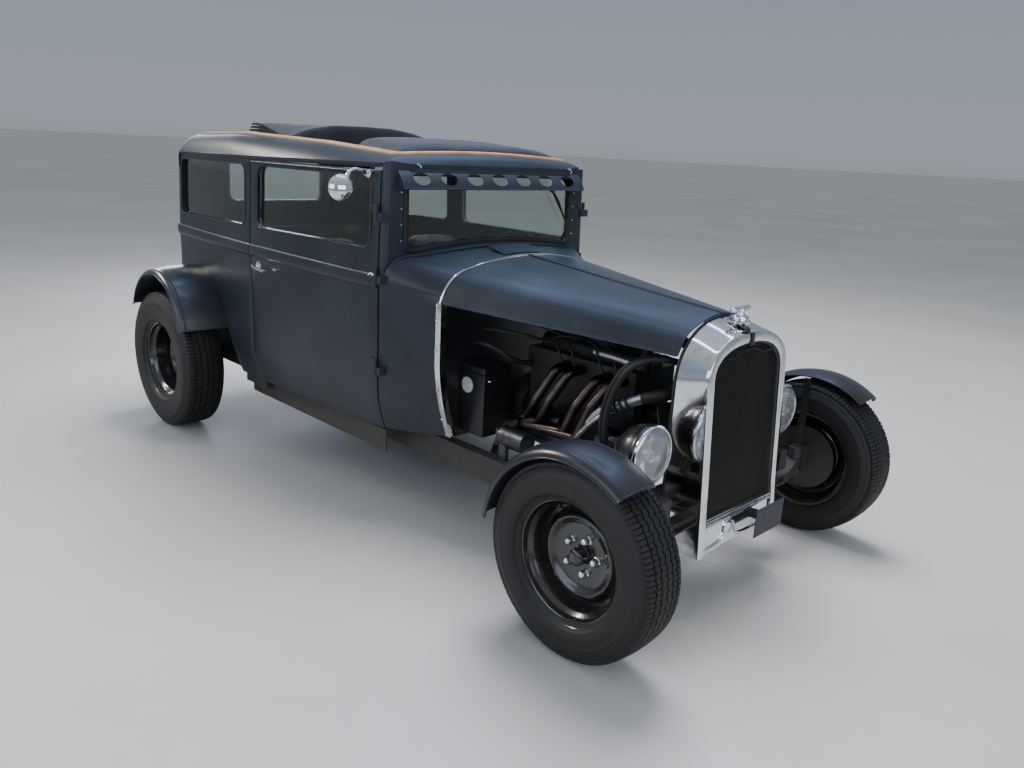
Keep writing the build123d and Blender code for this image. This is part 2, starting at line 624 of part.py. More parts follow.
cowl_inner = cowl_loft(COWL_WALL, SILL_Z - 1)
cowl = cowl_loft(0, SILL_Z) - cowl_inner
FIREWALL_Y = (COWL_Y + 10, COWL_Y + 20)
TUNNEL_R = 120
firewall = cowl_inner & block((-700, 700), FIREWALL_Y, (SILL_Z, 1200))
firewall -= along(Pos(0, RAIL_HIGH_Z + SEAT) * Circle(TUNNEL_R), (COWL_Y, COWL_Y + 40))
save("firewall", firewall)

band_y = (COWL_Y - BAND_DEPTH, COWL_Y)
band = along(body_section("cowl", -BAND_PROUD, SILL_Z), band_y)
band -= along(body_section("cowl", BAND_INSET, SILL_Z - 1), (band_y[0] - 1, band_y[1] + 1))
save("cowl_band", band)

# Windscreen surround: posts and header between the cowl and the roof
SURROUND_Y = (POST_Y - 28, POST_Y)
SURROUND_LOW_Z = 1000
HEADER_Z = WALL_TOP_Z + 22
HEADER_CROWN_Z = WALL_TOP_Z + 66
surround_face = outline(
    (2 - POST_HALF_W, SURROUND_LOW_Z), (8 - POST_HALF_W, HEADER_Z),
    ((0, HEADER_CROWN_Z), (POST_HALF_W - 8, HEADER_Z)), (POST_HALF_W - 2, SURROUND_LOW_Z),
)
screen_face = outline(
    (-486, 1118), ((-478, 1086), (-446, 1083)), ((0, 1113), (446, 1083)), ((478, 1086), (486, 1118)),
    (486, 1358), ((474, 1387), (446, 1396)), (-446, 1396), ((-474, 1387), (-486, 1358)),
)
surround = along(surround_face, SURROUND_Y) - along(screen_face, (POST_Y - 60, POST_Y + 20))
surround -= cowl_loft(0, SILL_Z, 0)
save("windscreen_surround", surround)
save("cowl", cowl)
screen_glass = along(offset(screen_face, -SEAT), (POST_Y - 17, POST_Y - 11)) - cowl_loft(-SEAT, SILL_Z, 1)
save("window_glass", screen_glass, quarter_glass, mirrored(quarter_glass), rear_glass)

# Roof: crowned loft trimmed to the body's plan and rounded down at the rear
roof_table = (  # y, edge x, edge z, shoulder x, shoulder z, crown z
    (POST_Y - 30, 594, 1424, 500, 1456, 1472),
    (POST_Y + 548, 634, 1416, 480, 1492, 1516),
    (WHEELBASE - 315, 646, 1411, 470, 1516, 1540),
    (REAR_Y + 10, 620, 1405, 480, 1500, 1522),
)


def roof_solid(edge_in, drop, low_z, ruled=False):
    """Roof block: sections of three arcs over a flat foot."""
    faces = []
    for y, ex, ez, sx, sz, top in roof_table:
        e, s = ex - edge_in, sx - edge_in * 0.4
        via_x, via_z = s + (e - s) * 0.64, ez + (sz - ez) * 0.68
        faces.append(station(outline(
            (-e, low_z), (-e, ez - drop), ((-via_x, via_z - drop), (-s, sz - drop)),
            ((0, top - drop), (s, sz - drop)), ((via_x, via_z - drop), (e, ez - drop)), (e, low_z),
        ), y))
    body = loft(faces, ruled=ruled)
    back = REAR_Y - edge_in
    side = outline(
        (POST_Y - 80, low_z), (back - 3, low_z), (back - 3, WALL_TOP_Z + 16 - drop),
        ((back - 42, WALL_TOP_Z + 78 - drop), (back - 150, WALL_TOP_Z + 112 - drop)),
        (back - 400, 1640), (POST_Y - 80, 1640),
    )
    return body & across(side, (-900, 900))


roof_plan = plan_face(WALL_LEAN)
roof_outer = roof_solid(0, 0, WALL_TOP_Z) & upward(roof_plan, (WALL_TOP_Z, 1700))
roof_inner = roof_solid(PANEL, ROOF_SHEET, WALL_TOP_Z - 60, ruled=True)
roof_inner &= upward(plan_face(PANEL + WALL_LEAN), (WALL_TOP_Z - 5, 1700))
sunroof = block((-SUNROOF_HALF, SUNROOF_HALF), SUNROOF_Y, (1300, 1700))
roof_shell = roof_outer - roof_inner - sunroof
save("roof_shell", roof_shell)

# Wooden strips round the roof opening, and the folding top's front panel and folded stack
STRIP_Y = (PANEL_Y[0] - STRIP_W - SEAT, REAR_Y - 75)
raised = roof_solid(0, -STRIP_H, WALL_TOP_Z, ruled=True)
strip_out = SUNROOF_HALF + 34
ring = block((-strip_out, strip_out), STRIP_Y, (WALL_TOP_Z, 1700))
ring -= block(
    (STRIP_W - strip_out, strip_out - STRIP_W), (STRIP_Y[0] + STRIP_W, STRIP_Y[1] - STRIP_W), (1300, 1800)
)
roof_low = roof_solid(0, 0, WALL_TOP_Z - 2)
roof_strips = (raised & ring) - roof_low
save("roof_strips", roof_strips)

PANEL_RISE = 26
panel_half = SUNROOF_HALF + 4
panel_low = 1478
front_panel = along(outline(
    (-panel_half, panel_low), ((0, panel_low + PANEL_RISE), (panel_half, panel_low)),
    (panel_half, panel_low - 10), ((0, panel_low + PANEL_RISE - 10), (-panel_half, panel_low - 10)),
), PANEL_Y)
front_panel -= roof_low
PLEAT_COUNT = 4
PLEAT_STEP = 88
stack = None
for k in range(PLEAT_COUNT):
    y = STACK_Y[0] + k * PLEAT_STEP
    leaf_face = outline(
        (y, 1552 + k * 5), ((y + 10, 1562 + k * 5), (y + 24, 1562 + k * 5)), (y + 118, 1560),
        ((y + 128, 1550), (y + 112, 1540)), (y + 20, 1541 + k * 5),
    )
    leaf = across(leaf_face, (-SUNROOF_HALF + 4, SUNROOF_HALF - 4))
    stack = leaf if stack is None else stack + leaf
stack += block(
    (-SUNROOF_HALF + 4, SUNROOF_HALF - 4), (STACK_Y[0] + 60, STACK_Y[1]), (1520, 1545)
)
stack -= roof_low
save("roof_top", front_panel, stack)

# Visor: a thin pierced sheet sloping out over the windscreen, with end flaps
VISOR_HALF = 530
VISOR_TOP = (SURROUND_Y[0] - SEAT, 1404)
VISOR_LOW = (SURROUND_Y[0] - 46, 1334)
VISOR_SHEET = 3
VISOR_HOLES = 7
VISOR_HOLE_R = 25
VISOR_PITCH = 142
visor = across(outline(
    VISOR_TOP, VISOR_LOW, (VISOR_LOW[0], VISOR_LOW[1] - VISOR_SHEET - 1),
    (VISOR_TOP[0], VISOR_TOP[1] - VISOR_SHEET - 2),
), (-VISOR_HALF, VISOR_HALF))
for k in range(VISOR_HOLES):
    x = (k - (VISOR_HOLES - 1) / 2) * VISOR_PITCH
    y, z = (VISOR_TOP[0] + VISOR_LOW[0]) / 2, (VISOR_TOP[1] + VISOR_LOW[1]) / 2
    visor -= Pos(x, y, z) * (Rot(33, 0, 0) * Cylinder(VISOR_HOLE_R, 60, rotation=(90, 0, 0)))
for x in (-VISOR_HALF, VISOR_HALF - VISOR_SHEET):
    visor += across(outline(
        VISOR_TOP, VISOR_LOW, (VISOR_TOP[0], VISOR_LOW[1]),
    ), (x, x + VISOR_SHEET))
save("visor", visor)

# Radiator shell: arched front with a bezel round the grille, and an ogee apron under it
def arch(half_w, low_z, spring_z, top_z):
    """Upright sides under a basket arch."""
    knee_x = half_w * 0.62
    knee_z = spring_z + (top_z - spring_z) * 0.76
    return outline(
        (-half_w, low_z), (-half_w, spring_z),
        ((-half_w * 0.91, spring_z + (top_z - spring_z) * 0.43), (-knee_x, knee_z)),
        ((0, top_z), (knee_x, knee_z)),
        ((half_w * 0.91, spring_z + (top_z - spring_z) * 0.43), (half_w, spring_z)),
        (half_w, low_z),
    )


SHELL_WALL = 5
shell_y = (SHELL_FRONT_Y, SHELL_REAR_Y)
opening_half = SHELL_HALF_W - BEZEL
shell_face = arch(SHELL_HALF_W, APRON_LOW_Z, SHELL_SPRING_Z - 20, SHELL_TOP_Z)
opening_face = arch(opening_half, SHELL_LOW_Z, SHELL_SPRING_Z - 16, 912)
shell = along(shell_face, shell_y)
shell -= along(
    arch(SHELL_HALF_W - SHELL_WALL, APRON_LOW_Z - 1, SHELL_SPRING_Z - 20, SHELL_TOP_Z - SHELL_WALL),
    (SHELL_FRONT_Y + 12, SHELL_REAR_Y + 1),
)
shell -= along(opening_face, (SHELL_FRONT_Y - 1, SHELL_FRONT_Y + 30))
crank_hole = Pos(-60, 250) * Circle(20)
shell -= along(crank_hole, (SHELL_FRONT_Y - 1, SHELL_FRONT_Y + 30))
apron_cut = outline(
    (-SHELL_HALF_W + 40, APRON_LOW_Z - 5), ((-150, 214), (-90, 206)), ((0, 200), (90, 206)),
    ((150, 214), (SHELL_HALF_W - 40, APRON_LOW_Z - 5)),
)
shell -= along(apron_cut, (SHELL_FRONT_Y - 1, SHELL_REAR_Y + 1))
shell -= block((-400, 400), (-BEAM_HALF_Y - MOVE_GAP, SHELL_REAR_Y + 5), (0, SHELL_LOW_Z + 12))
CAP_Y = -16
shell += rod((0, CAP_Y, SHELL_TOP_Z - 20), (0, CAP_Y, SHELL_TOP_Z + 22), 34)
shell += rod((0, CAP_Y, SHELL_TOP_Z + 20), (0, CAP_Y, SHELL_TOP_Z + 58), 21)
shell += rod((0, CAP_Y, SHELL_TOP_Z + 56), (0, CAP_Y, SHELL_TOP_Z + 66), 30)
shell += Pos(0, CAP_Y, SHELL_TOP_Z + 78) * Box(76, 22, 26)
save("radiator_shell", shell)

# Grille: a frame of upright and level bars behind the opening, and the core behind it
GRILLE_Y = (SHELL_FRONT_Y + 12 + SEAT, SHELL_FRONT_Y + 22)
GRILLE_BARS = 17
GRILLE_ROWS = 6
BAR_R = 3
grille_half = SHELL_HALF_W - SHELL_WALL - 6
grille_out = arch(grille_half, SHELL_LOW_Z - 20, SHELL_SPRING_Z - 16, 946)
grille_in = arch(opening_half - 6, SHELL_LOW_Z + 6, SHELL_SPRING_Z - 16, 906)
grille = along(grille_out, GRILLE_Y) - along(grille_in, (GRILLE_Y[0] - 1, GRILLE_Y[1] + 1))
bars_y = (GRILLE_Y[0] + 2, GRILLE_Y[0] + 2 + 2 * BAR_R)
grille_pitch = 2 * opening_half / (GRILLE_BARS + 1)
net = None
for k in range(GRILLE_BARS):
    x = -opening_half + (k + 1) * grille_pitch
    bar = block((x - BAR_R, x + BAR_R), bars_y, (SHELL_LOW_Z, 920))
    net = bar if net is None else net + bar
for k in range(GRILLE_ROWS):
    z = SHELL_LOW_Z + (k + 0.5) * (912 - SHELL_LOW_Z) / GRILLE_ROWS
    net += block((-opening_half, opening_half), bars_y, (z - BAR_R, z + BAR_R))
grille += net & along(grille_out, GRILLE_Y)
save("grille", grille)
CORE_Y = (GRILLE_Y[1] + SEAT, SHELL_REAR_Y - 14)
core = along(arch(grille_half - 2, FRONT_RAIL_Z[0] + 42, SHELL_SPRING_Z - 20, SHELL_TOP_Z - 24), CORE_Y)
for side in (-1, 1):
    core += block(
        sorted((side * 170, side * 210)), (CORE_Y[1] - 5, 80),
        (crossmembers[0][2] + SEAT, crossmembers[0][2] + 16),
    )
save("radiator_core", core)

# Hood: two top panels on a slanted centre pin
HOOD_REAR_Y = band_y[0] - MOVE_GAP
hood_table = {  # ridge z, mid x, mid z, top x, top z, shoulder x, shoulder z, edge x, edge z
    "front": (SHELL_TOP_Z + 6, -80, 982, -156, 958, -216, 922, -244, 868),
    "rear": (1076, -170, 1068, -332, 1040, -440, 986, -480, 912),
}
PIN_END_GAP = 0.9


def ridge(y):
    """Point on the hood's slanted centre pin."""
    low, high = hood_table["front"][0], hood_table["rear"][0]
    return (0, y, low + (high - low) * (y - HOOD_FRONT_Y) / (HOOD_REAR_Y - HOOD_FRONT_Y))


ridge_front = ridge(SHELL_REAR_Y + PIN_END_GAP)
ridge_rear = ridge(band_y[0] - PIN_END_GAP)


def hood_section(name, sink):
    """Hood sheet from beside the pin over the shoulder to the open lower edge."""
    rz, mx, mz, tx, tz, sx, sz, ex, ez = hood_table[name]
    inner = HOOD_PIN_R + SEAT
    n = sink
    shoulder = (sx + n * 0.7, sz - n * 0.7)
    return [(-inner, rz - n), (mx, mz - n), (tx + n * 0.3, tz - n), shoulder, (ex + n, ez)]


def hood_face(name):
    a = hood_section(name, 0)
    b = hood_section(name, HOOD_SHEET)
    return outline(
        a[0], (a[1], a[2]), (a[3], a[4]), b[4], (b[3], b[2]), (b[1], b[0]),
    )


hood = loft([station(hood_face("front"), HOOD_FRONT_Y), station(hood_face("rear"), HOOD_REAR_Y)], ruled=True)
hood_pin = rod(ridge_front, ridge_rear, HOOD_PIN_R)
save("hood_right", hood)
save("hood_left", mirrored(hood))
save("hood_hinge", hood_pin)

# Headlamps: turned bucket, domed lens, and a bracket from the frame
LAMP_X = 405
LAMP_Z = 583
LAMP_R = 98
LAMP_Y = -8
LAMP_WALL = 7
LAMP_BACK_Y = LAMP_Y + 142
inner_back_y = LAMP_BACK_Y - LAMP_WALL - 1
rim_y = LAMP_Y + 22
bucket_face = outline(
    (LAMP_R, LAMP_Y), (LAMP_R, rim_y), ((LAMP_R - 16, LAMP_Y + 88), (26, LAMP_BACK_Y)),
    (0, LAMP_BACK_Y), (0, inner_back_y), (22, inner_back_y),
    ((LAMP_R - 22, LAMP_Y + 84), (LAMP_R - LAMP_WALL, rim_y)), (LAMP_R - LAMP_WALL, LAMP_Y),
)
lamp = revolve(bucket_face, Axis.Y)
lens_r = LAMP_R - LAMP_WALL - SEAT
LENS_DOME = 17
lens = revolve(outline(
    (0, LAMP_Y + 4), (lens_r, LAMP_Y + 4), (lens_r, LAMP_Y),
    ((lens_r * 0.6, LAMP_Y + 4 - LENS_DOME), (8, LAMP_Y - LENS_DOME)), (0, LAMP_Y - LENS_DOME),
), Axis.Y)
lamps, lenses = [], []
for side in (-1, 1):
    place = Pos(side * LAMP_X, 0, LAMP_Z)
    post = rod((side * 392, 60, FRONT_RAIL_Z[1] - 4), (side * LAMP_X, 60, LAMP_Z - 60), 11)
    post -= place * (Pos(0, 60, 0) * Sphere(60))
    lamps.append(place * lamp + (post - block((-500, 500), (-60, 200), (300, FRONT_RAIL_Z[1] + SEAT))))
    lenses.append(place * lens)
save("headlamps", *lamps)
save("headlamp_lenses", *lenses)

# Rear fenders: turned bands on the quarter panels, on a centre ahead of and above the hub
REAR_FENDER_AHEAD = 22
REAR_FENDER_RISE = 173
REAR_FENDER_GAP = 24
REAR_FENDER_IN = 160
REAR_FENDER_OUT = 122
REAR_FENDER_START = 16
REAR_FENDER_TURN = 158
REAR_FENDER_CENTRE = (WHEELBASE - REAR_FENDER_AHEAD, REAR_TYRE_R + REAR_FENDER_RISE)
lower_end = radians(REAR_FENDER_START)
lift = REAR_FENDER_RISE * sin(lower_end) - REAR_FENDER_AHEAD * cos(lower_end)
far = hypot(REAR_FENDER_AHEAD, REAR_FENDER_RISE)
r = sqrt((REAR_TYRE_R + REAR_FENDER_GAP) ** 2 - far ** 2 + lift ** 2) - lift
rear_fender_face = outline(
    (-REAR_FENDER_IN, r - 4), ((-20, r), (REAR_FENDER_OUT - 26, r - 14)),
    ((REAR_FENDER_OUT - 5, r - 20), (REAR_FENDER_OUT, r - 32)),
    (REAR_FENDER_OUT - FENDER_SHEET, r - 32),
    ((REAR_FENDER_OUT - 10, r - 23), (REAR_FENDER_OUT - 28, r - 19)),
    ((-20, r - FENDER_SHEET), (-REAR_FENDER_IN, r - 4 - FENDER_SHEET)),
)
rear_fender = turned(
    rear_fender_face, -rear_x, *REAR_FENDER_CENTRE, REAR_FENDER_START, REAR_FENDER_TURN
)
body_block = upward(plan_face(-SEAT), (SILL_Z - 100, 1200))
rear_fender -= body_block
save("rear_fenders", rear_fender, mirrored(rear_fender))

# Tail lamps stand on the rear panel
tails = []
for side in (-1, 1):
    tails.append(rod((side * 430, REAR_Y - 14, 620), (side * 430, REAR_Y + 14, 620), 38))
tails = [t - wall(wall_face(SEAT), rear_centre, REAR_CROWN_R, REAR_END, 180 - REAR_END) for t in tails]
save("tail_lamps", *tails)

# Floor with its raised rear, tunnel, sills under the doors and wheel houses
FLOOR_SHEET = 8
FLOOR_Z = RAIL_HIGH_Z + SEAT
REAR_FLOOR_Z = REAR_RAIL_Z[1] + 6
FLOOR_HALF = 505
FLOOR_FRONT_Y = FIREWALL_Y[1] + 1
FLOOR_REAR_Y = WHEELBASE + 220
WIDE_FLOOR_HALF = 555
WIDE_FLOOR_Y = WHEELBASE - 415
FLOOR_RISE_Y = (WHEELBASE - 527, WHEELBASE - 280)
floor = across(outline(
    (FLOOR_FRONT_Y, FLOOR_Z), (FLOOR_RISE_Y[0], FLOOR_Z), (FLOOR_RISE_Y[1], REAR_FLOOR_Z),
    (FLOOR_REAR_Y, REAR_FLOOR_Z), (FLOOR_REAR_Y, REAR_FLOOR_Z + FLOOR_SHEET),
    (FLOOR_RISE_Y[1] - 4, REAR_FLOOR_Z + FLOOR_SHEET), (FLOOR_RISE_Y[0] - 4, FLOOR_Z + FLOOR_SHEET),
    (FLOOR_FRONT_Y, FLOOR_Z + FLOOR_SHEET),
), (-WIDE_FLOOR_HALF, WIDE_FLOOR_HALF))
floor_edge = [
    (-372, COWL_Y), (-FLOOR_HALF, POST_Y + 4), (-FLOOR_HALF, WIDE_FLOOR_Y), (-WIDE_FLOOR_HALF, WIDE_FLOOR_Y),
    (-WIDE_FLOOR_HALF, REAR_Y),
]
floor &= upward(outline(*floor_edge, *[(-x, y) for x, y in reversed(floor_edge)]), (0, FLOOR_Z * 3))
tunnel_y = (FLOOR_FRONT_Y, WIDE_FLOOR_Y - 5)
tunnel_ring = (Circle(TUNNEL_R + FLOOR_SHEET) - Circle(TUNNEL_R)) & (Pos(0, 100) * Rectangle(300, 200))
tunnel = along(Pos(0, FLOOR_Z) * tunnel_ring, tunnel_y)
floor -= block((-TUNNEL_R - 4, TUNNEL_R + 4), (COWL_Y, tunnel_y[1]), (FLOOR_Z - 10, FLOOR_Z + 20))
floor += tunnel
SILL_OUT_X = 548
SILL_LOW_Z = 300
SKIRT_LOW_Z = 240
sill_y = (POST_Y + 4, DOOR_REAR_Y + 2)
sill_rear_y = (DOOR_REAR_Y + 2, WIDE_FLOOR_Y + 5)
for side in (-1, 1):
    sill_in = side * (FLOOR_HALF - 5)
    floor += block(sorted((sill_in, side * SILL_OUT_X)), sill_y, (SILL_LOW_Z, FLOOR_Z + FLOOR_SHEET))
    floor += block(sorted((sill_in, side * (SILL_OUT_X + 37))), sill_rear_y, (SILL_LOW_Z, SILL_Z - SEAT))
    floor += block(
        sorted((side * (SILL_OUT_X - 8), side * SILL_OUT_X)), (sill_y[0], sill_rear_y[1]),
        (SKIRT_LOW_Z, SILL_LOW_Z + 1),
    )
HOUSE_SHEET = 6
HOUSE_X = (556, 606)
house_shell = across(offset(arch_face, HOUSE_SHEET) - arch_face, HOUSE_X)
house_shell += across(offset(arch_face, HOUSE_SHEET), (HOUSE_X[0], HOUSE_X[0] + HOUSE_SHEET))
house_shell &= block((500, 700), (DOOR_REAR_Y, REAR_Y + 60), (SILL_Z, REAR_TYRE_R + ARCH_R + 46))
house_shell -= block((500, 700), (WHEELBASE - 60, WHEELBASE + 60), (300, REAR_TYRE_R + 84))
house = house_shell - quarter
house = max(house.solids(), key=lambda solid: solid.volume)
save("floor_pan", floor)
save("wheel_houses", house, mirrored(house))

# Engine: crankcase, head, cover, sump, gearbox, fan and front pulley
TAIL_Z = 372
ENGINE_Y = (310, 850)
BLOCK_HALF = 108
HEAD_Z = (640, 732)
engine = block((-BLOCK_HALF, BLOCK_HALF), ENGINE_Y, (380, HEAD_Z[0]))
engine += block((-BLOCK_HALF - 14, BLOCK_HALF + 14), (ENGINE_Y[0] - 6, ENGINE_Y[1] + 6), HEAD_Z)
cover_face = outline(
    (-66, HEAD_Z[1]), (-66, HEAD_Z[1] + 26), ((-54, HEAD_Z[1] + 46), (-30, HEAD_Z[1] + 52)),
    (30, HEAD_Z[1] + 52), ((54, HEAD_Z[1] + 46), (66, HEAD_Z[1] + 26)), (66, HEAD_Z[1]),
)
engine += along(cover_face, (ENGINE_Y[0] + 14, ENGINE_Y[1] - 14))
engine += along(outline(
    (-96, 380), (-84, 262), (84, 262), (96, 380),
), (ENGINE_Y[0] + 10, 590))
gearbox = outline(
    (-150, 500), ((0, 585), (150, 500)), (120, 330), (-120, 330),
)
engine += along(gearbox, (ENGINE_Y[1], ENGINE_Y[1] + 90))
engine += rod((0, ENGINE_Y[1] + 90, TAIL_Z), (0, COWL_Y + 240, TAIL_Z), 60)
PUMP_Z = 560
FAN_R = 180
FAN_Y = 160
engine += rod((0, FAN_Y - 10, PUMP_Z), (0, ENGINE_Y[0], PUMP_Z), 26)
engine += rod((0, 210, PUMP_Z), (0, 232, PUMP_Z), 62)
engine += rod((0, 232, 420), (0, ENGINE_Y[0], 420), 24)
engine += rod((0, 210, 420), (0, 236, 420), 74)
for k in range(4):
    blade = Rot(0, 90 * k + 20, 0) * (Pos(0, 0, FAN_R - 80) * (Rot(0, 0, 28) * Box(66, 4, 160)))
    engine += Pos(0, FAN_Y, PUMP_Z) * blade
for side in (-1, 1):
    engine += block(sorted((side * 80, side * (RAIL_OUT_X - RAIL_W - SEAT))), (440, 480), (376, 394))
HOSE_X = -40
HOSE_Y = 322
HOSE_Z = 796
engine += rod((HOSE_X, HOSE_Y, HEAD_Z[1] - 4), (HOSE_X, HOSE_Y, HOSE_Z - SEAT), 26)
save("engine", engine)

# Exhaust: four header tubes sweep down and back to a collector, and a pipe runs to the tail
PORT_Y = (352, 424, 560, 632)
HEADER_R = 19
COLLECTOR_R = 36
PIPE_Z = 224
PIPE_R = 24
collector = (-262, 800, 432)
exhaust = rod((collector[0], 730, 446), (collector[0], 812, 426), COLLECTOR_R)
for k, y in enumerate(PORT_Y):
    sag = 14 * k
    exhaust += tube([
        (-BLOCK_HALF - 14 - SEAT, y, 692), (-212 + sag * 0.4, y, 692), (-262, y + 44, 600 - sag),
        (-272 + 8 * k, y + 92, 474 + 4 * k), (collector[0], 790, 440),
    ], HEADER_R, 34)
exhaust += tube([
    (collector[0], 780, 434), (collector[0], 826, 420), (-256, 906, PIPE_Z), (-250, REAR_Y - 44, PIPE_Z),
], PIPE_R, 40)
save("exhaust", exhaust)

# Engine fittings: generator, oil filter, intake, top hose and battery box
FILTER_X = -348
FILTER_R = 42
fittings = [
    rod((-186, 250, 470), (-186, 380, 470), 56) + rod((-186, 222, 470), (-186, 250, 470), 34)
    + block((-140, -BLOCK_HALF - SEAT), (290, 330), (455, 485)),
    rod((FILTER_X, 620, 415), (FILTER_X, 752, 415), FILTER_R)
    + block((FILTER_X - 32, FILTER_X + 30), (752, 764), (380, 450))
    + block((FILTER_X - 36, FILTER_X - 20), (700, 740), (RAIL_HIGH_Z + SEAT, 395)),
]
save("engine_fittings", *fittings)
intake = block((BLOCK_HALF + 14 + SEAT, 190), (400, 760), (668, 706))
intake += rod((170, 580, 690), (170, 580, 800), 36)
intake += rod((170, 580, 800), (170, 580, 856), 84)
save("intake", intake)
hose = tube([
    (HOSE_X, HOSE_Y, HOSE_Z), (HOSE_X, HOSE_Y, 850), (-90, 190, 890), (-110, 90, 880),
    (-110, CORE_Y[1] + SEAT, 880),
], 20, 24)
save("top_hose", hose)
battery = block((-336, -190), (884, FIREWALL_Y[0] - SEAT), (362, 654))
battery += rod((-336, 928, 568), (-340, 928, 568), 27)
save("battery_box", battery)

# Cabin: dashboard, seats and steering
DASH_Y = (POST_Y + SEAT, POST_Y + 78)
dash = along(body_section("post", 12, 500), DASH_Y) & block((-530, 530), DASH_Y, (962, 1200))
save("dashboard", dash)


def seat(y, z, length, back_z, x_span):
    """Seat side view with a raked back, extruded across its width."""
    return across(outline(
        (y, z), (y - 14, z + 150), ((y + 6, z + 196), (y + 50, z + 204)), (y + length - 130, z + 186),
        (y + length - 40, back_z - 30), ((y + length - 14, back_z), (y + length + 26, back_z - 20)),
        (y + length + 20, z + 150), (y + length - 40, z),
    ), x_span)


seat_place = (POST_Y + 288, FLOOR_Z + FLOOR_SHEET + SEAT)
front_seats = [seat(*seat_place, 560, 1080, span) for span in ((-498, -140), (140, 498))]
rear_seat = seat(WHEELBASE - 315, REAR_FLOOR_Z + FLOOR_SHEET + SEAT, 500, 1050, (-550, 550))
save("front_seats", *front_seats)
save("rear_seat", rear_seat)
STEER_X = 300
column_low = (STEER_X, FIREWALL_Y[1] + SEAT, 740)
column_high = (STEER_X, 1470, 956)
lean = degrees(atan2(column_high[2] - column_low[2], column_high[1] - column_low[1]))
steering = rod(column_low, column_high, 15)
wheel_place = Pos(*column_high) * Rot(lean - 90, 0, 0)
steering += wheel_place * Torus(188, 11)
for k in range(3):
    steering += wheel_place * (Rot(0, 0, 90 + 120 * k) * (Pos(94, 0, 0) * Box(188, 16, 7)))
steering -= block((200, 400), (FIREWALL_Y[0] - 40, FIREWALL_Y[1] + SEAT), (600, 900))
save("steering_wheel", steering)

# Number plate on its bracket
plate = block((14, 206), (-172, -169), (212, 319))
plate += block((90, 130), (-169, SHELL_FRONT_Y - SEAT), (250, 272))
save("number_plate", plate)


def side_x(y):
    """Half-width of the body's side at a station."""
    return side_centre[0] + sqrt(side_r ** 2 - (y - side_centre[1]) ** 2)


# Doors with their outside hinges, handles and the mirror
hinges = None
for z in HINGE_Z:
    half = HINGE_LENGTH / 2
    pin = rod((-HINGE_X, HINGE_Y, z - half), (-HINGE_X, HINGE_Y, z + half - 2), HINGE_PIN_R)
    pin += rod((-HINGE_X, HINGE_Y, z - half), (-HINGE_X, HINGE_Y, z - SEAT), HINGE_BARREL_R)
    leaf = block((-HINGE_X, -560), (HINGE_Y - 32, HINGE_Y - 3), (z - half, z - SEAT))
    pin += leaf
    hinges = pin if hinges is None else hinges + pin
hinges -= cowl_loft(0, SILL_Z) + surround
hinges = [solid for solid in hinges.solids() if solid.bounding_box().min.X < -600]
save("door_hinges", *hinges, *[mirrored(solid) for solid in hinges])
door_right = mirrored(door)
for z in HINGE_Z:
    barrel = rod((-HINGE_X, HINGE_Y, z), (-HINGE_X, HINGE_Y, z + HINGE_LENGTH / 2), HINGE_BARREL_R)
    barrel += block((-HINGE_X, -590), (HINGE_Y + 4, HINGE_Y + 54), (z, z + HINGE_LENGTH / 2))
    barrel -= rod((-HINGE_X, HINGE_Y, z - 5), (-HINGE_X, HINGE_Y, z + HINGE_LENGTH), HINGE_PIN_R + RUN)
    door_right += barrel
for side, flip in (("right", lambda s: s), ("left", mirrored)):
    save(f"door_{side}", flip(door_right))
    save(f"door_glass_{side}", flip(mirrored(door_glass)))
HANDLE_Y = DOOR_REAR_Y - 68
HANDLE_Z = 920
handle_x = side_x(HANDLE_Y)
handle = rod((-handle_x - SEAT, HANDLE_Y, HANDLE_Z), (-handle_x - 34, HANDLE_Y, HANDLE_Z), 9)
handle += rod((-handle_x - SEAT, HANDLE_Y, HANDLE_Z), (-handle_x - 5, HANDLE_Y, HANDLE_Z), 20)
handle -= mirrored(door_wall)
handle += rod((-handle_x - 34, HANDLE_Y + 8, HANDLE_Z), (-handle_x - 30, HANDLE_Y - 92, HANDLE_Z), 8)
MIRROR_R = 43
mirror_centre = (-772, 1268, 1346)
mirror_face = (mirror_centre[0], mirror_centre[1] + 16, mirror_centre[2])
arm_foot = (-side_x(1300) + WALL_LEAN + 4, 1302, 1386)
mirror_arm = rod(arm_foot, mirror_centre, 5)
mirror_arm += rod(mirror_centre, mirror_face, MIRROR_R)
mirror_arm += rod(arm_foot, (arm_foot[0] - 16, 1302, 1386), 12)
mirror_arm -= mirrored(door_wall)
mirror_arm = max(mirror_arm.solids(), key=lambda solid: solid.volume)
save("door_fittings_right", handle, mirror_arm)
save("door_fittings_left", mirrored(handle))
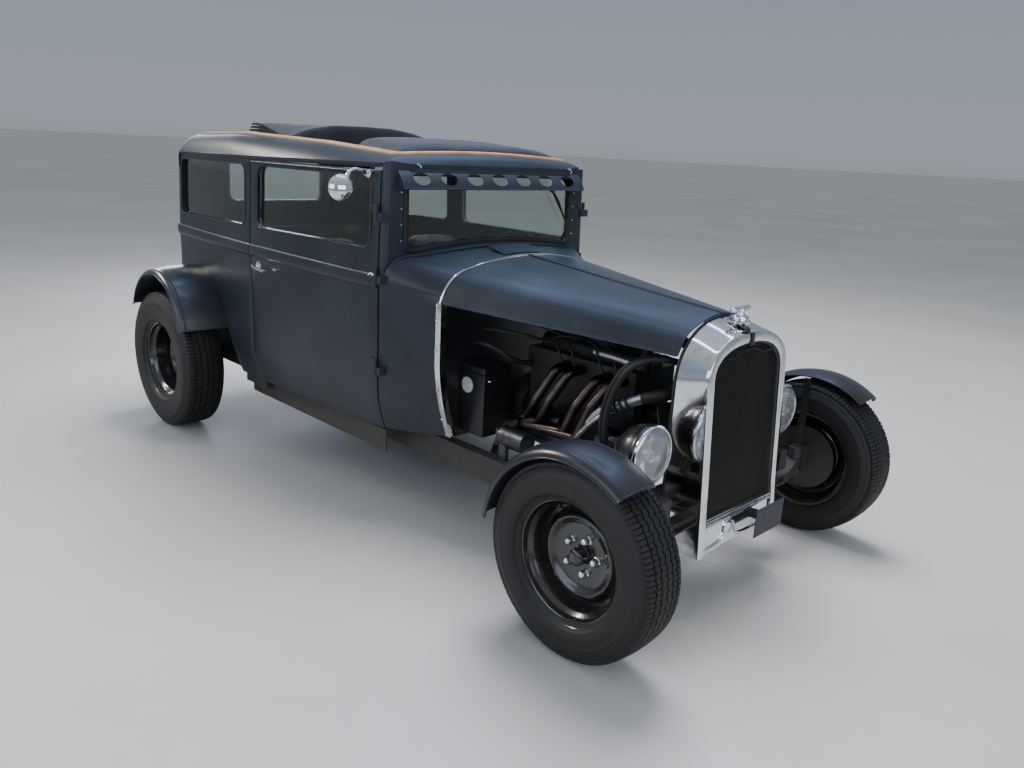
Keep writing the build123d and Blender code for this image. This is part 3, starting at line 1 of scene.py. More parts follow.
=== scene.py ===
"""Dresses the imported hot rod, a chopped sedan on a bare ladder frame, with its finished surfaces."""
import math
import bmesh
import bpy
import numpy as np
from mathutils import Matrix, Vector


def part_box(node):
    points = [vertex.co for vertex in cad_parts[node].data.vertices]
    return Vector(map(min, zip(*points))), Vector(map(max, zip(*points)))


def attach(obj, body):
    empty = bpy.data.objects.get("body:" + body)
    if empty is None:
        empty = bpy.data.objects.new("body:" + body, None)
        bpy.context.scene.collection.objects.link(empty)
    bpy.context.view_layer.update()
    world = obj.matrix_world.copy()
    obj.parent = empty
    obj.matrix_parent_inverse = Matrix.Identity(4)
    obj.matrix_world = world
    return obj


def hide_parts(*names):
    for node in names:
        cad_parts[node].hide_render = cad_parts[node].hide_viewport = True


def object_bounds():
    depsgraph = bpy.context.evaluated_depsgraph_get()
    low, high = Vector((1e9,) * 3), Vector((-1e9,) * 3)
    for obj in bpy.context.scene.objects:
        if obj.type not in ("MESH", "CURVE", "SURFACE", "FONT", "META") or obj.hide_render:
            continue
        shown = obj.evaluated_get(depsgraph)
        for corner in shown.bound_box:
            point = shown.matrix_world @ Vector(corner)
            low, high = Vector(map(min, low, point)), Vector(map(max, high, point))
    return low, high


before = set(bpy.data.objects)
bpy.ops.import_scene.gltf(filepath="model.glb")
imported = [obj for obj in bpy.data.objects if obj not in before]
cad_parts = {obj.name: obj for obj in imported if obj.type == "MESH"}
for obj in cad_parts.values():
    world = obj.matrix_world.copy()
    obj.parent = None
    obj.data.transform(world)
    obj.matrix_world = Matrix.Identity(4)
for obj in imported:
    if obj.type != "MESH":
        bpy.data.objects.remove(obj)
cad_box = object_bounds()

# Millimetres. X points to the car's left, Y to the rear and Z up.
# Every y below is counted from the front axle, and placed() moves it into the frame.
wheel_low, wheel_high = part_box("wheel_front_right")
AXLE_Y = 500 * (wheel_low.y + wheel_high.y)
WHEELBASE = 2815
FRONT_TRACK, REAR_TRACK = 1470, 1530
FRONT_TYRE_R, REAR_TYRE_R = 320, 356
FRONT_TYRE_W, REAR_TYRE_W = 190, 218
FRONT_RIM_W, REAR_RIM_W = 150, 178
WALL_DEPTH = 40  # from a wall's outer skin to its lining
POST_Y, DOOR_REAR_Y, QUARTER_Y, REAR_Y = 1252, 2200, 3000, 3140
POST_HALF_W, WIDEST, QUARTER_HALF_W = 596, 645, 627
REAR_CROWN_R, CORNER_R = 6000, 125
SILL_Z, TURN_TOP_Z, WALL_TOP_Z = 345, 560, 1400
TURN_UNDER, WALL_LEAN = 44, 15
BELT_HIGH_Z = 1014
WINDOW_Z = (1100, 1374)
DOOR_WINDOW_Y, QUARTER_WINDOW_Y = (1314, 2139), (2262, 2985)
WINDOW_CORNER = 38
COWL_Y = 1016
HEADER_Z = 1427  # top of the windscreen's face and the roof's front edge
MOVE_GAP = 6  # between a door and what stands still
MIRROR = (-1, 1, 1)  # to the car's other side


def placed(points):
    """Millimetres from the front axle, as metres in the frame."""
    return (np.asarray(points, float) + (0, AXLE_Y, 0)) / 1000


def box_of(node):
    """Low and high corner of a CAD node, in millimetres from the front axle."""
    return [np.array(corner) * 1000 - (0, AXLE_Y, 0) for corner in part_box(node)]


# Camera: a phone's wide lens at the car's right front corner, tipped down and slightly rolled
CAMERA_AT = (-2538, -1460, 1497)
CAMERA_YAW, CAMERA_PITCH, CAMERA_ROLL = 45.14, 15.63, -2.93
FOCAL_PIXELS, IMAGE_W = 832.2, 1024
SENSOR_MM = 36


def add_camera():
    """The view's three axes: forward from yaw and pitch, then right and down turned by the roll."""
    yaw, pitch, roll = (math.radians(a) for a in (CAMERA_YAW, CAMERA_PITCH, CAMERA_ROLL))
    ahead = np.array([math.cos(pitch) * math.sin(yaw), math.cos(pitch) * math.cos(yaw), -math.sin(pitch)])
    level = np.array([math.cos(yaw), -math.sin(yaw), 0.0])
    under = np.cross(ahead, level)
    right = level * math.cos(roll) + under * math.sin(roll)
    down = under * math.cos(roll) - level * math.sin(roll)
    lens = bpy.data.cameras.new("camera")
    lens.sensor_width = SENSOR_MM
    lens.lens = FOCAL_PIXELS / IMAGE_W * SENSOR_MM
    camera = bpy.data.objects.new("camera", lens)
    bpy.context.scene.collection.objects.link(camera)
    turn = np.eye(4)
    turn[:3, 0], turn[:3, 1], turn[:3, 2], turn[:3, 3] = right, -down, -ahead, placed(CAMERA_AT)
    camera.matrix_world = Matrix(turn.tolist())
    bpy.context.scene.camera = camera


# Mesh making: a shape is (points, quads) or (points, quads, uv of every quad corner)
def quads(rows, cols, wrap_rows=False, wrap_cols=False):
    """Index of every cell's four corners in a grid, which may close on itself either way."""
    i, j = np.meshgrid(np.arange(rows - (not wrap_rows)), np.arange(cols - (not wrap_cols)), indexing="ij")

    def at(a, b):
        """Index of a grid point, counted round where the grid closes."""
        return (a % rows) * cols + b % cols

    return np.stack([at(i, j), at(i + 1, j), at(i + 1, j + 1), at(i, j + 1)], -1).reshape(-1, 4)


def grid(points, wrap_rows=False, wrap_cols=False, uv=None):
    """Shape over a grid of points (rows, cols, 3). uv is (rows + wrap, cols + wrap, 2)."""
    rows, cols = points.shape[:2]
    cells = quads(rows, cols, wrap_rows, wrap_cols)
    if uv is None:
        return points.reshape(-1, 3), cells
    wide = quads(uv.shape[0], uv.shape[1])
    return points.reshape(-1, 3), cells, uv.reshape(-1, 2)[wide]


def make_piece(name, shapes, body, material, replaces=(), sharp=35, closed=True):
    """One object from shapes: doubles merged, faces outward, smooth but for edges over an angle."""
    points, cells, uvs, start = [], [], [], 0
    for shape in shapes:
        points.append(shape[0])
        cells.append(shape[1] + start)
        uvs.append(shape[2] if len(shape) > 2 else np.zeros((*shape[1].shape, 2)))
        start += len(shape[0])
    mesh = bpy.data.meshes.new(name)
    mesh.from_pydata(placed(np.concatenate(points)).tolist(), [], np.concatenate(cells).tolist())
    if any(len(shape) > 2 for shape in shapes):
        mesh.uv_layers.new(name="UVMap").data.foreach_set("uv", np.concatenate(uvs).astype(np.float32).ravel())
    edit = bmesh.new()
    edit.from_mesh(mesh)
    bmesh.ops.delete(edit, geom=[v for v in edit.verts if not v.link_faces], context="VERTS")
    bmesh.ops.remove_doubles(edit, verts=edit.verts, dist=2e-5)
    if closed:
        bmesh.ops.recalc_face_normals(edit, faces=edit.faces)
    edit.to_mesh(mesh)
    edit.free()
    mesh.shade_smooth()
    mesh.set_sharp_from_angle(angle=math.radians(sharp))
    mesh.materials.append(material)
    piece = bpy.data.objects.new(name, mesh)
    bpy.context.scene.collection.objects.link(piece)
    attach(piece, body)
    if replaces:
        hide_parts(*replaces)
    return piece


def flipped(shapes):
    """The other side of the car, with the faces turned back outward."""
    return [(s[0] * MIRROR, s[1][:, ::-1], *(u[:, ::-1] for u in s[2:])) for s in shapes]


def bevelled(piece, width, segments=2, angle=40):
    """Rounds a piece's edges by a width in millimetres."""
    bevel = piece.modifiers.new("rounded", "BEVEL")
    bevel.width, bevel.segments = width / 1000, segments
    bevel.limit_method, bevel.angle_limit = "ANGLE", math.radians(angle)
    bevel.harden_normals = True


def lathe(profile, centre, outward=(-1, 0, 0), sides=64, start=0.0, turn=360.0):
    """Profile points (along the axis, radius) turned about the axis; a full turn closes on itself."""
    profile = np.asarray(profile, float)
    axis = np.asarray(outward, float)
    up = np.array([0, 0, 1.0]) if abs(axis[2]) < 0.9 else np.array([0, 1.0, 0])
    side = np.cross(up, axis)
    side /= np.linalg.norm(side)
    up = np.cross(axis, side)
    full = turn >= 360
    angle = np.radians(start + np.linspace(0, turn, sides + 1))
    ring = np.cos(angle)[:, None] * side + np.sin(angle)[:, None] * up
    points = np.asarray(centre, float) + profile[None, :, :1] * axis + profile[None, :, 1:] * ring[:, None, :]
    return grid(points[:-1] if full else points, wrap_rows=full)


def frames(path, closed=False):
    """Across and up directions square to a path, turned as little as the path allows."""
    ahead = np.roll(path, -1, 0) - np.roll(path, 1, 0) if closed else np.gradient(path, axis=0)
    ahead /= np.linalg.norm(ahead, axis=1, keepdims=True)
    spread = np.abs(ahead).max(0)
    guide = np.eye(3)[int(np.argmin(spread))]
    across = np.cross(ahead, guide)
    across /= np.linalg.norm(across, axis=1, keepdims=True)
    return across, np.cross(across, ahead)


def capped(rings):
    """Rows of points with one more at each end, drawn together in its middle, which closes it."""
    first, last = (np.repeat(rings[k].mean(0)[None], len(rings[k]), 0)[None] for k in (0, -1))
    return np.concatenate([first, rings, last])


def sweep(path, profile, closed=False, guide=None):
    """A closed profile (across, up) carried along a path, one ring of points at each path point. A guide
    holds the profile's up close to one direction."""
    path, profile = np.asarray(path, float), np.asarray(profile, float)
    across, up = frames(path, closed)
    if guide is not None:
        ahead = np.cross(up, across)
        guide = np.asarray(guide, float)
        up = guide - (ahead @ guide)[:, None] * ahead
        up /= np.linalg.norm(up, axis=1, keepdims=True)
        across = np.cross(ahead, up)
    points = path[:, None] + profile[None, :, :1] * across[:, None] + profile[None, :, 1:] * up[:, None]
    return grid(points if closed else capped(points), wrap_rows=closed, wrap_cols=True)


def circle(radius, sides=16):
    """A round profile."""
    a = np.linspace(0, 2 * np.pi, sides, endpoint=False)
    return np.stack([radius * np.cos(a), radius * np.sin(a)], -1)


def curve_through(points, count):
    """Catmull-Rom curve: each stretch is a cubic whose slopes at its ends follow the neighbours."""
    p = np.asarray(points, float)
    p = np.concatenate([2 * p[:1] - p[1:2], p, 2 * p[-1:] - p[-2:-1]])
    spans = len(p) - 3
    t = np.linspace(0, spans, count)
    k = np.minimum(t.astype(int), spans - 1)
    f = (t - k)[:, None]
    a, b, c, d = p[k], p[k + 1], p[k + 2], p[k + 3]
    return 0.5 * (2 * b + (c - a) * f + (2 * a - 5 * b + 4 * c - d) * f**2 + (3 * b - a - 3 * c + d) * f**3)


def tube(points, radius, count=40, sides=14):
    """A round bar or hose along a smooth curve."""
    return sweep(curve_through(points, count), circle(radius, sides))


def box_shape(low, high):
    """A box as a grid of two square rings with collapsed ends."""
    (x0, y0, z0), (x1, y1, z1) = low, high
    ring = np.array([[x0, y0], [x1, y0], [x1, y1], [x0, y1]], float)
    levels = [(z0, 0), (z0, 1), (z1, 1), (z1, 0)]
    middle = ring.mean(0)
    points = np.stack([np.c_[middle + (ring - middle) * k, np.full(4, z)] for z, k in levels])
    return grid(points, wrap_cols=True)


# Panels: a grid with holes, an outer skin that rolls over at its edges, an inner skin and a rim
def inside(u, v, outline):
    """Whether points lie in a closed outline: a ray from each crosses it an odd number of times."""
    u0, v0 = outline.T
    u1, v1 = np.roll(outline, -1, 0).T
    u, v = u[..., None], v[..., None]
    level = np.where(v1 == v0, 1e-9, v1 - v0)
    return (((v0 > v) != (v1 > v)) & (u < (u1 - u0) * (v - v0) / level + u0)).sum(-1) % 2 == 1


def nearest(u, v, outline):
    """The nearest point of a closed outline and how far it is, by dropping onto every side at once."""
    a = outline
    run = np.roll(outline, -1, 0) - a
    to = np.stack([u, v], -1)[..., None, :] - a
    t = np.clip((to * run).sum(-1) / np.maximum((run**2).sum(-1), 1e-9), 0, 1)
    off = to - t[..., None] * run
    far = np.sqrt((off**2).sum(-1))
    k = far.argmin(-1)[..., None]
    t, far = np.take_along_axis(t, k, -1)[..., 0], np.take_along_axis(far, k, -1)[..., 0]
    spot = a[k[..., 0]] + t[..., None] * run[k[..., 0]]
    return spot[..., 0], spot[..., 1], far


def lines(low, high, step, marks=(), rounding=3.0):
    """Grid lines about a step apart, with some at the marks and some close to both ends."""
    near = np.array([0, 0.3, 1.0]) * rounding
    fixed = np.concatenate([low + near, high - near, [m for m in marks if low < m < high]])
    fixed = np.unique(np.round(fixed, 2))
    even = np.linspace(low, high, max(2, round((high - low) / step) + 1))
    clear = np.abs(even[:, None] - fixed).min(1) > 0.35 * step
    return np.unique(np.concatenate([even[clear], fixed]))


def rounded_hole(u_span, v_span, radius, steps=6):
    """Rounded rectangle as a closed outline, and the grid lines through its corner points."""
    turn = np.linspace(0, np.pi / 2, steps + 1)
    (u0, u1), (v0, v1) = u_span, v_span
    outline = []
    for k, (u, v) in enumerate([(u1, v1), (u0, v1), (u0, v0), (u1, v0)]):
        su, sv = (-1 if u == u1 else 1), (-1 if v == v1 else 1)
        a = turn + k * np.pi / 2
        outline.append(np.stack([u + su * radius + radius * np.cos(a), v + sv * radius + radius * np.sin(a)], -1))
    inset = radius * (1 - np.cos(turn))
    return np.concatenate(outline), np.r_[u0 + inset, u1 - inset], np.r_[v0 + inset, v1 - inset]


def panel(u, v, holes, place, depth, rounding=3.0):
    """Sheet with openings: place(u, v, sink) maps the grid to space. Cells in a hole are left out and
    the points left on its edge slide to its outline. Near an edge the outer skin sinks along a quarter
    circle. The inner skin lies at the full depth, and a rim joins the two."""
    rows, cols = len(u), len(v)
    grid_u, grid_v = np.meshgrid(u, v, indexing="ij")
    mid_u, mid_v = np.meshgrid((u[1:] + u[:-1]) / 2, (v[1:] + v[:-1]) / 2, indexing="ij")
    kept = np.ones(mid_u.shape, bool)
    gap = np.minimum.reduce([grid_u - u[0], u[-1] - grid_u, grid_v - v[0], v[-1] - grid_v])

    def touched(cells):
        """Grid points with one of these cells beside them."""
        wide = np.zeros((rows + 1, cols + 1), bool)
        wide[1:-1, 1:-1] = cells
        return wide[:-1, :-1] | wide[1:, :-1] | wide[:-1, 1:] | wide[1:, 1:]

    for outline in holes:
        gone = inside(mid_u, mid_v, outline)
        kept &= ~gone
        edge = touched(gone) & touched(~gone)
        near_u, near_v, far = nearest(grid_u, grid_v, outline)
        at_side = (grid_u == u[0]) | (grid_u == u[-1])
        at_end = (grid_v == v[0]) | (grid_v == v[-1])
        grid_u = np.where(edge & ~at_side, near_u, grid_u)
        grid_v = np.where(edge & ~at_end, near_v, grid_v)
        gap = np.minimum(gap, np.where(edge, 0, far))
    short = np.clip(rounding - gap, 0, rounding)
    sink = rounding - np.sqrt(rounding**2 - short**2)
    points = np.concatenate([place(grid_u, grid_v, sink).reshape(-1, 3),
                             place(grid_u, grid_v, np.full_like(sink, depth)).reshape(-1, 3)])
    skin = quads(rows, cols)[kept.ravel()]
    sides = np.concatenate([skin[:, [0, 1]], skin[:, [1, 2]], skin[:, [2, 3]], skin[:, [3, 0]]])
    total = rows * cols
    alone = ~np.isin(sides[:, 0] * total + sides[:, 1], sides[:, 1] * total + sides[:, 0])
    a, b = sides[alone].T
    rim = np.stack([b, a, a + total, b + total], -1)
    return points, np.concatenate([skin, skin[:, ::-1] + total, rim])


# Materials
def linear(code):
    """An sRGB hex colour as linear light."""
    values = [int(code[k:k + 2], 16) / 255 for k in (1, 3, 5)]
    return tuple(v / 12.92 if v <= 0.04045 else ((v + 0.055) / 1.055) ** 2.4 for v in values) + (1.0,)


def feed(tree, node, inputs):
    """Gives each input of a node its value or its link."""
    for key, value in inputs.items():
        if isinstance(value, bpy.types.NodeSocket):
            tree.links.new(value, node.inputs[key])
        else:
            node.inputs[key].default_value = value


def add(tree, kind, inputs=(), **settings):
    """Adds one node: settings go on the node, and each input takes a value or a link."""
    new = tree.nodes.new(kind)
    for key, value in settings.items():
        setattr(new, key, value)
    feed(tree, new, dict(inputs))
    return new


def start(name):
    """A new material with its tree, Object coordinates and shader."""
    made = bpy.data.materials.new(name)
    made.use_nodes = True
    tree = made.node_tree
    tree.nodes.clear()
    coords = add(tree, "ShaderNodeTexCoord").outputs["Object"]
    shader = add(tree, "ShaderNodeBsdfPrincipled")
    add(tree, "ShaderNodeOutputMaterial", {"Surface": shader.outputs[0]})
    return made, tree, coords, shader


def noise(tree, coords, scale, detail, rough=0.5):
    """Cloudy noise with so many cells to a metre."""
    return add(tree, "ShaderNodeTexNoise", {"Vector": coords, "Scale": scale, "Detail": detail,
                                            "Roughness": rough}).outputs["Fac"]


def spread(tree, value, low=0.0, high=1.0, to=(0.0, 1.0), **settings):
    """The span from low to high spread over another span, level beyond its ends."""
    return add(tree, "ShaderNodeMapRange", {"Value": value, "From Min": low, "From Max": high,
                                            "To Min": to[0], "To Max": to[1]}, **settings).outputs[0]


def maths(tree, operation, one, two, **settings):
    """One sum of two values."""
    return add(tree, "ShaderNodeMath", {0: one, 1: two}, operation=operation, **settings).outputs[0]


def blend(tree, share, one, two):
    """One colour going over into another by a share."""
    return add(tree, "ShaderNodeMix", {0: share, 6: one, 7: two}, data_type="RGBA").outputs[2]


def relief(tree, strength, depth_mm, height):
    """Bumps in the shading, so many millimetres deep."""
    return add(tree, "ShaderNodeBump", {"Strength": strength, "Distance": depth_mm / 1000,
                                        "Height": height}).outputs[0]


def ramp(tree, value, stops):
    """Colours between stops, the first of which lies at 0 and the last at 1."""
    node = add(tree, "ShaderNodeValToRGB", {"Fac": value})
    elements = node.color_ramp.elements
    elements[0].color, elements[-1].color = stops[0][1], stops[-1][1]
    for at, shade in stops[1:-1]:
        elements.new(at).color = shade
    return node.outputs["Color"]


DUST = "#8a8172"


def enamel(name, main, faded, rough, patch_mm=260, grain_mm=4, grain_depth=0.03, dust_share=0.0,
           dust_top=0.7, streaks=0.0, coat=0.0, sheen=0.5):
    """Sprayed coat over metal: cloudy fading, fine orange peel, hair scratches and dust that thins
    out with height."""
    made, tree, coords, shader = start(name)
    share = spread(tree, noise(tree, coords, 1000 / patch_mm, 7.0, 0.62), 0.36, 0.66)
    colour = blend(tree, share, linear(main), linear(faded))
    grain = noise(tree, coords, 1000 / grain_mm, 3.0)
    uneven = add(tree, "ShaderNodeMix", {0: 0.55, 2: share, 3: grain}).outputs[0]
    gloss = spread(tree, uneven, to=rough)
    if streaks:
        long = add(tree, "ShaderNodeMapping", {"Vector": coords, "Scale": (1.0, 1.0, 14.0)}).outputs[0]
        hair = spread(tree, noise(tree, long, 34.0, 2.0), 0.62, 0.72, (0.0, streaks))
        colour = blend(tree, hair, colour, linear(faded))
    if dust_share:
        height = add(tree, "ShaderNodeSeparateXYZ", {"Vector": coords}).outputs["Z"]
        low = spread(tree, height, dust_top, 0.15, (0.0, dust_share), interpolation_type="SMOOTHSTEP")
        lay = maths(tree, "MULTIPLY", low, noise(tree, coords, 21.0, 8.0, 0.7))
        colour = blend(tree, lay, colour, linear(DUST))
        gloss = maths(tree, "ADD", gloss, lay, use_clamp=True)
    feed(tree, shader, {"Base Color": colour, "Roughness": gloss, "Normal": relief(tree, 0.35, grain_depth, grain),
                        "Coat Weight": coat, "Coat Roughness": 0.12, "Specular IOR Level": sheen})
    return made


def bare_metal(name, main, stain, rough, patch_mm=60, grain_mm=2, grain_depth=0.02):
    """Plated, polished or cast metal with stains that dull it in patches."""
    made, tree, coords, shader = start(name)
    cloud = noise(tree, coords, 1000 / patch_mm, 8.0, 0.65)
    colour = blend(tree, spread(tree, cloud, 0.48, 0.78), linear(main), linear(stain))
    grain = noise(tree, coords, 1000 / grain_mm, 2.0)
    feed(tree, shader, {"Base Color": colour, "Roughness": spread(tree, cloud, 0.3, 0.8, rough),
                        "Normal": relief(tree, 0.3, grain_depth, grain), "Metallic": 1.0})
    return made


def woven(name, main, worn, thread_mm, rough=0.85, sheen=0.3, crease_mm=90):
    """Coated cloth: two crossed rows of threads, drawn coarse enough to show, over soft creases."""
    made, tree, coords, shader = start(name)
    rows = []
    for turn in (0.0, math.pi / 2):
        along = add(tree, "ShaderNodeMapping", {"Vector": coords, "Rotation": (0.0, 0.0, turn)}).outputs[0]
        rows.append(add(tree, "ShaderNodeTexWave", {"Vector": along, "Scale": 1000 / thread_mm / 20,
                                                    "Distortion": 0.4, "Detail": 1.0}).outputs["Fac"])
    weave = maths(tree, "MAXIMUM", *rows)
    cloud = noise(tree, coords, 1000 / crease_mm, 6.0)
    colour = blend(tree, spread(tree, cloud, 0.4, 0.7), linear(main), linear(worn))
    height = maths(tree, "ADD", weave, cloud)
    feed(tree, shader, {"Base Color": colour, "Roughness": rough, "Sheen Weight": sheen,
                        "Normal": relief(tree, 0.5, 0.6, height)})
    return made


def pebbled(name, main, worn, pebble_mm, rough, pebble_depth=0.35):
    """Leather, rubber or moulded plastic: raised cells with creases between them, worn in patches."""
    made, tree, coords, shader = start(name)
    cells = add(tree, "ShaderNodeTexVoronoi", {"Vector": coords, "Scale": 1000 / pebble_mm}).outputs["Distance"]
    cloud = noise(tree, coords, 14.0, 7.0)
    colour = blend(tree, spread(tree, cloud, 0.4, 0.7), linear(main), linear(worn))
    feed(tree, shader, {"Base Color": colour, "Roughness": spread(tree, cloud, to=rough),
                        "Normal": relief(tree, 0.4, pebble_depth, cells)})
    return made


def tyre_rubber(name, hub_y, hub_z, wall_r):
    """Cross-ply tyre: dusty brown outer sidewall with radial cracks, blacker by the rim and on the tread."""
    made, tree, coords, shader = start(name)
    centred = add(tree, "ShaderNodeMapping", {"Vector": coords, "Location": (0.0, -hub_y, -hub_z),
                                              "Scale": (0.0, 1.0, 1.0)}).outputs[0]
    far = add(tree, "ShaderNodeVectorMath", {0: centred}, operation="LENGTH").outputs["Value"]
    cloud = noise(tree, coords, 16.0, 8.0, 0.7)
    wall = ramp(tree, spread(tree, far, *wall_r), [(at, (shade, shade, shade, 1)) for at, shade in (
        (0.0, 0.05), (0.36, 0.1), (0.62, 0.5), (0.84, 0.6), (0.93, 0.12), (1.0, 0.12))])
    lay = maths(tree, "MULTIPLY", wall, cloud)
    dusty = blend(tree, lay, linear("#0a0a0b"), linear("#2d2a27"))
    uv = add(tree, "ShaderNodeUVMap", uv_map="UVMap").outputs[0]
    radial = add(tree, "ShaderNodeMapping", {"Vector": uv, "Scale": (1.0, 0.06, 1.0)}).outputs[0]
    slit = spread(tree, noise(tree, radial, 150.0, 4.0), 0.34, 0.42)
    colour = blend(tree, slit, linear("#141313"), dusty)
    height = maths(tree, "ADD", noise(tree, coords, 700.0, 2.0), slit)
    feed(tree, shader, {"Base Color": colour, "Roughness": spread(tree, cloud, to=(0.5, 0.8)),
                        "Normal": relief(tree, 0.4, 0.4, height)})
    return made


def clear_glass(name, tint, rough=0.02, wave_mm=0.0, milk=0.0):
    """Drawn flat glass, or fluted lamp glass where a wave width is given, with a film of dust."""
    made, tree, coords, shader = start(name)
    film = noise(tree, coords, 6.0, 8.0, 0.7)
    feed(tree, shader, {"Base Color": linear(tint), "Transmission Weight": 1.0 - milk, "IOR": 1.5,
                        "Roughness": spread(tree, film, 0.35, 0.85, (rough, rough + 0.04))})
    if wave_mm:
        flute = add(tree, "ShaderNodeTexWave", {"Vector": coords, "Scale": 1000 / wave_mm / 20}).outputs["Fac"]
        feed(tree, shader, {"Normal": relief(tree, 0.5, 1.0, flute)})
    return made


# Satin enamel over steel, blue-grey and faded by the sun: cloudy, with a soft sheen
body_paint = enamel("blue_grey_enamel", "#1c232b", "#29323c", (0.30, 0.46), patch_mm=420, streaks=0.18,
                    dust_share=0.22, dust_top=0.8, coat=0.04, sheen=0.36)
# Darker enamel of the rear fenders, near black with a blue cast
fender_paint = enamel("dark_blue_enamel", "#131a24", "#222c3a", (0.24, 0.40), patch_mm=300, streaks=0.2,
                      dust_share=0.5, dust_top=0.9, coat=0.15)
# Satin black enamel of the cycle fenders: a broad soft highlight
satin_black = enamel("satin_black_enamel", "#101115", "#191b20", (0.28, 0.42), patch_mm=180, dust_share=0.1,
                     coat=0.1)
# Brushed chassis black on steel, dusty and oily low down
chassis_black = enamel("chassis_enamel", "#101011", "#1b1a19", (0.38, 0.62), patch_mm=90, grain_mm=3,
                       grain_depth=0.12, dust_share=0.35, dust_top=0.7)
# Gloss black enamel of the wheels
wheel_black = enamel("gloss_black_enamel", "#0a0a0b", "#131316", (0.12, 0.26), patch_mm=120, dust_share=0.12,
                     dust_top=0.6, coat=0.6)
# Painted cast iron, oily, with a coarse skin
cast_iron = enamel("engine_black_iron", "#0f1011", "#1d1c1b", (0.3, 0.6), patch_mm=50, grain_mm=3,
                   grain_depth=0.5, dust_share=0.15, dust_top=1.0)
# Spring steel with baked dirt
spring_steel = enamel("dirty_spring_steel", "#1d1b19", "#3a332c", (0.5, 0.75), patch_mm=40, grain_depth=0.2,
                      dust_share=0.7, dust_top=0.7)
# Chrome plate: a mirror with faint stains
chrome = bare_metal("chrome_plate", "#e4e6ea", "#b9b6ae", (0.03, 0.16), patch_mm=45)
# Cast aluminium: pale, grainy and grey with age
cast_alloy = bare_metal("cast_aluminium", "#a9abad", "#6f6d69", (0.32, 0.55), patch_mm=25, grain_depth=0.2)
# Cast aluminium of the engine's parts, dark with oil and road dirt
aged_alloy = bare_metal("oily_aluminium", "#56575a", "#2b2a29", (0.34, 0.6), patch_mm=30, grain_depth=0.2)
# Heat-stained mild steel of the exhaust: bluish brown
header_steel = bare_metal("heat_stained_steel", "#4c4342", "#262329", (0.28, 0.5), patch_mm=55, grain_depth=0.1)
# Silvered brass inside the lamps: bright and smooth
silvered = bare_metal("silvered_reflector", "#dfe3e6", "#c9ccd0", (0.08, 0.2), patch_mm=30)
# Varnished ash strips, light tan, rubbed pale
tan_strip = enamel("tan_roof_strip", "#b48457", "#c99c70", (0.4, 0.6), patch_mm=60, grain_mm=8, grain_depth=0.3)
# Black rubber-coated roof cloth, greyed by the sun
roof_cloth = woven("coated_roof_cloth", "#151517", "#232326", thread_mm=2.2, rough=0.7, sheen=0.08)
# Black leather, creased and rubbed brown
leather = pebbled("worn_leather", "#221d1a", "#3b2f28", 3.2, (0.38, 0.6))
# Enamelled disc on the box, off-white and greyed
disc_white = enamel("off_white_enamel", "#c9ccc0", "#a7a99d", (0.3, 0.5), patch_mm=18)
# Moulded rubber: dull black
rubber = pebbled("black_rubber", "#121212", "#1d1d1d", 2.0, (0.5, 0.75), pebble_depth=0.12)
# Hard black plastic of the steering wheel
black_plastic = pebbled("black_plastic", "#101011", "#1a1a1b", 1.5, (0.25, 0.4), pebble_depth=0.05)
# Window glass, faintly green, with a dusty film
window_glass = clear_glass("window_glass", "#e6efec")
# Fluted lamp glass
lamp_glass = clear_glass("fluted_lamp_glass", "#f4f7f8", rough=0.12, wave_mm=9, milk=0.14)
# Red lamp plastic
tail_red = enamel("red_lamp_plastic", "#7a0f0c", "#8c1611", (0.1, 0.2), patch_mm=40, grain_mm=6, coat=0.6)
# Blank enamelled plate, dark blue
plate_blue = enamel("blue_plate_enamel", "#0a1029", "#0f1733", (0.4, 0.55), patch_mm=40, dust_share=0.3)
# Woven wire of the grille, black
mesh_black = enamel("black_wire", "#0c0c0d", "#171718", (0.35, 0.6), patch_mm=60, dust_share=0.25)
front_rubber = tyre_rubber("front_tyre_rubber", AXLE_Y / 1000, FRONT_TYRE_R / 1000, (0.205, 0.312))
rear_rubber = tyre_rubber("rear_tyre_rubber", (AXLE_Y + WHEELBASE) / 1000, REAR_TYRE_R / 1000, (0.205, 0.348))


# Camera, light and floor
add_camera()
scene = bpy.context.scene
world = bpy.data.worlds.new("studio")
world.use_nodes = True
scene.world = world
sky = world.node_tree
sky.nodes.clear()
way = add(sky, "ShaderNodeSeparateXYZ", {"Vector": add(sky, "ShaderNodeTexCoord").outputs["Generated"]})
# Grey below the horizon, pale blue above it and white at the zenith
fade = ramp(sky, spread(sky, way.outputs["Z"], -0.25, 1.0), [(at, linear(shade)) for at, shade in (
    (0.0, "#b0b3b8"), (0.19, "#b9bec4"), (0.21, "#c3cbd6"), (0.42, "#a9bcd4"), (1.0, "#ffffff"))])
back = add(sky, "ShaderNodeBackground", {"Color": fade, "Strength": 0.6})
add(sky, "ShaderNodeOutputWorld", {"Surface": back.outputs[0]})


def add_light(name, at, look_at, size, power, shade="#ffffff"):
    """A large soft rectangular lamp."""
    lamp = bpy.data.lights.new(name, "AREA")
    lamp.shape, lamp.size, lamp.size_y = "RECTANGLE", size[0], size[1]
    lamp.energy, lamp.color = power, linear(shade)[:3]
    thing = bpy.data.objects.new(name, lamp)
    scene.collection.objects.link(thing)
    thing.visible_camera = False
    back_way = np.asarray(at, float) - look_at
    back_way /= np.linalg.norm(back_way)
    across = np.cross((0.0, 0.0, 1.0) if abs(back_way[2]) < 0.99 else (0.0, 1.0, 0.0), back_way)
    across /= np.linalg.norm(across)
    turn = np.eye(4)
    turn[:3, 0], turn[:3, 1], turn[:3, 2], turn[:3, 3] = across, np.cross(back_way, across), back_way, at
    thing.matrix_world = Matrix(turn.tolist())
    return thing


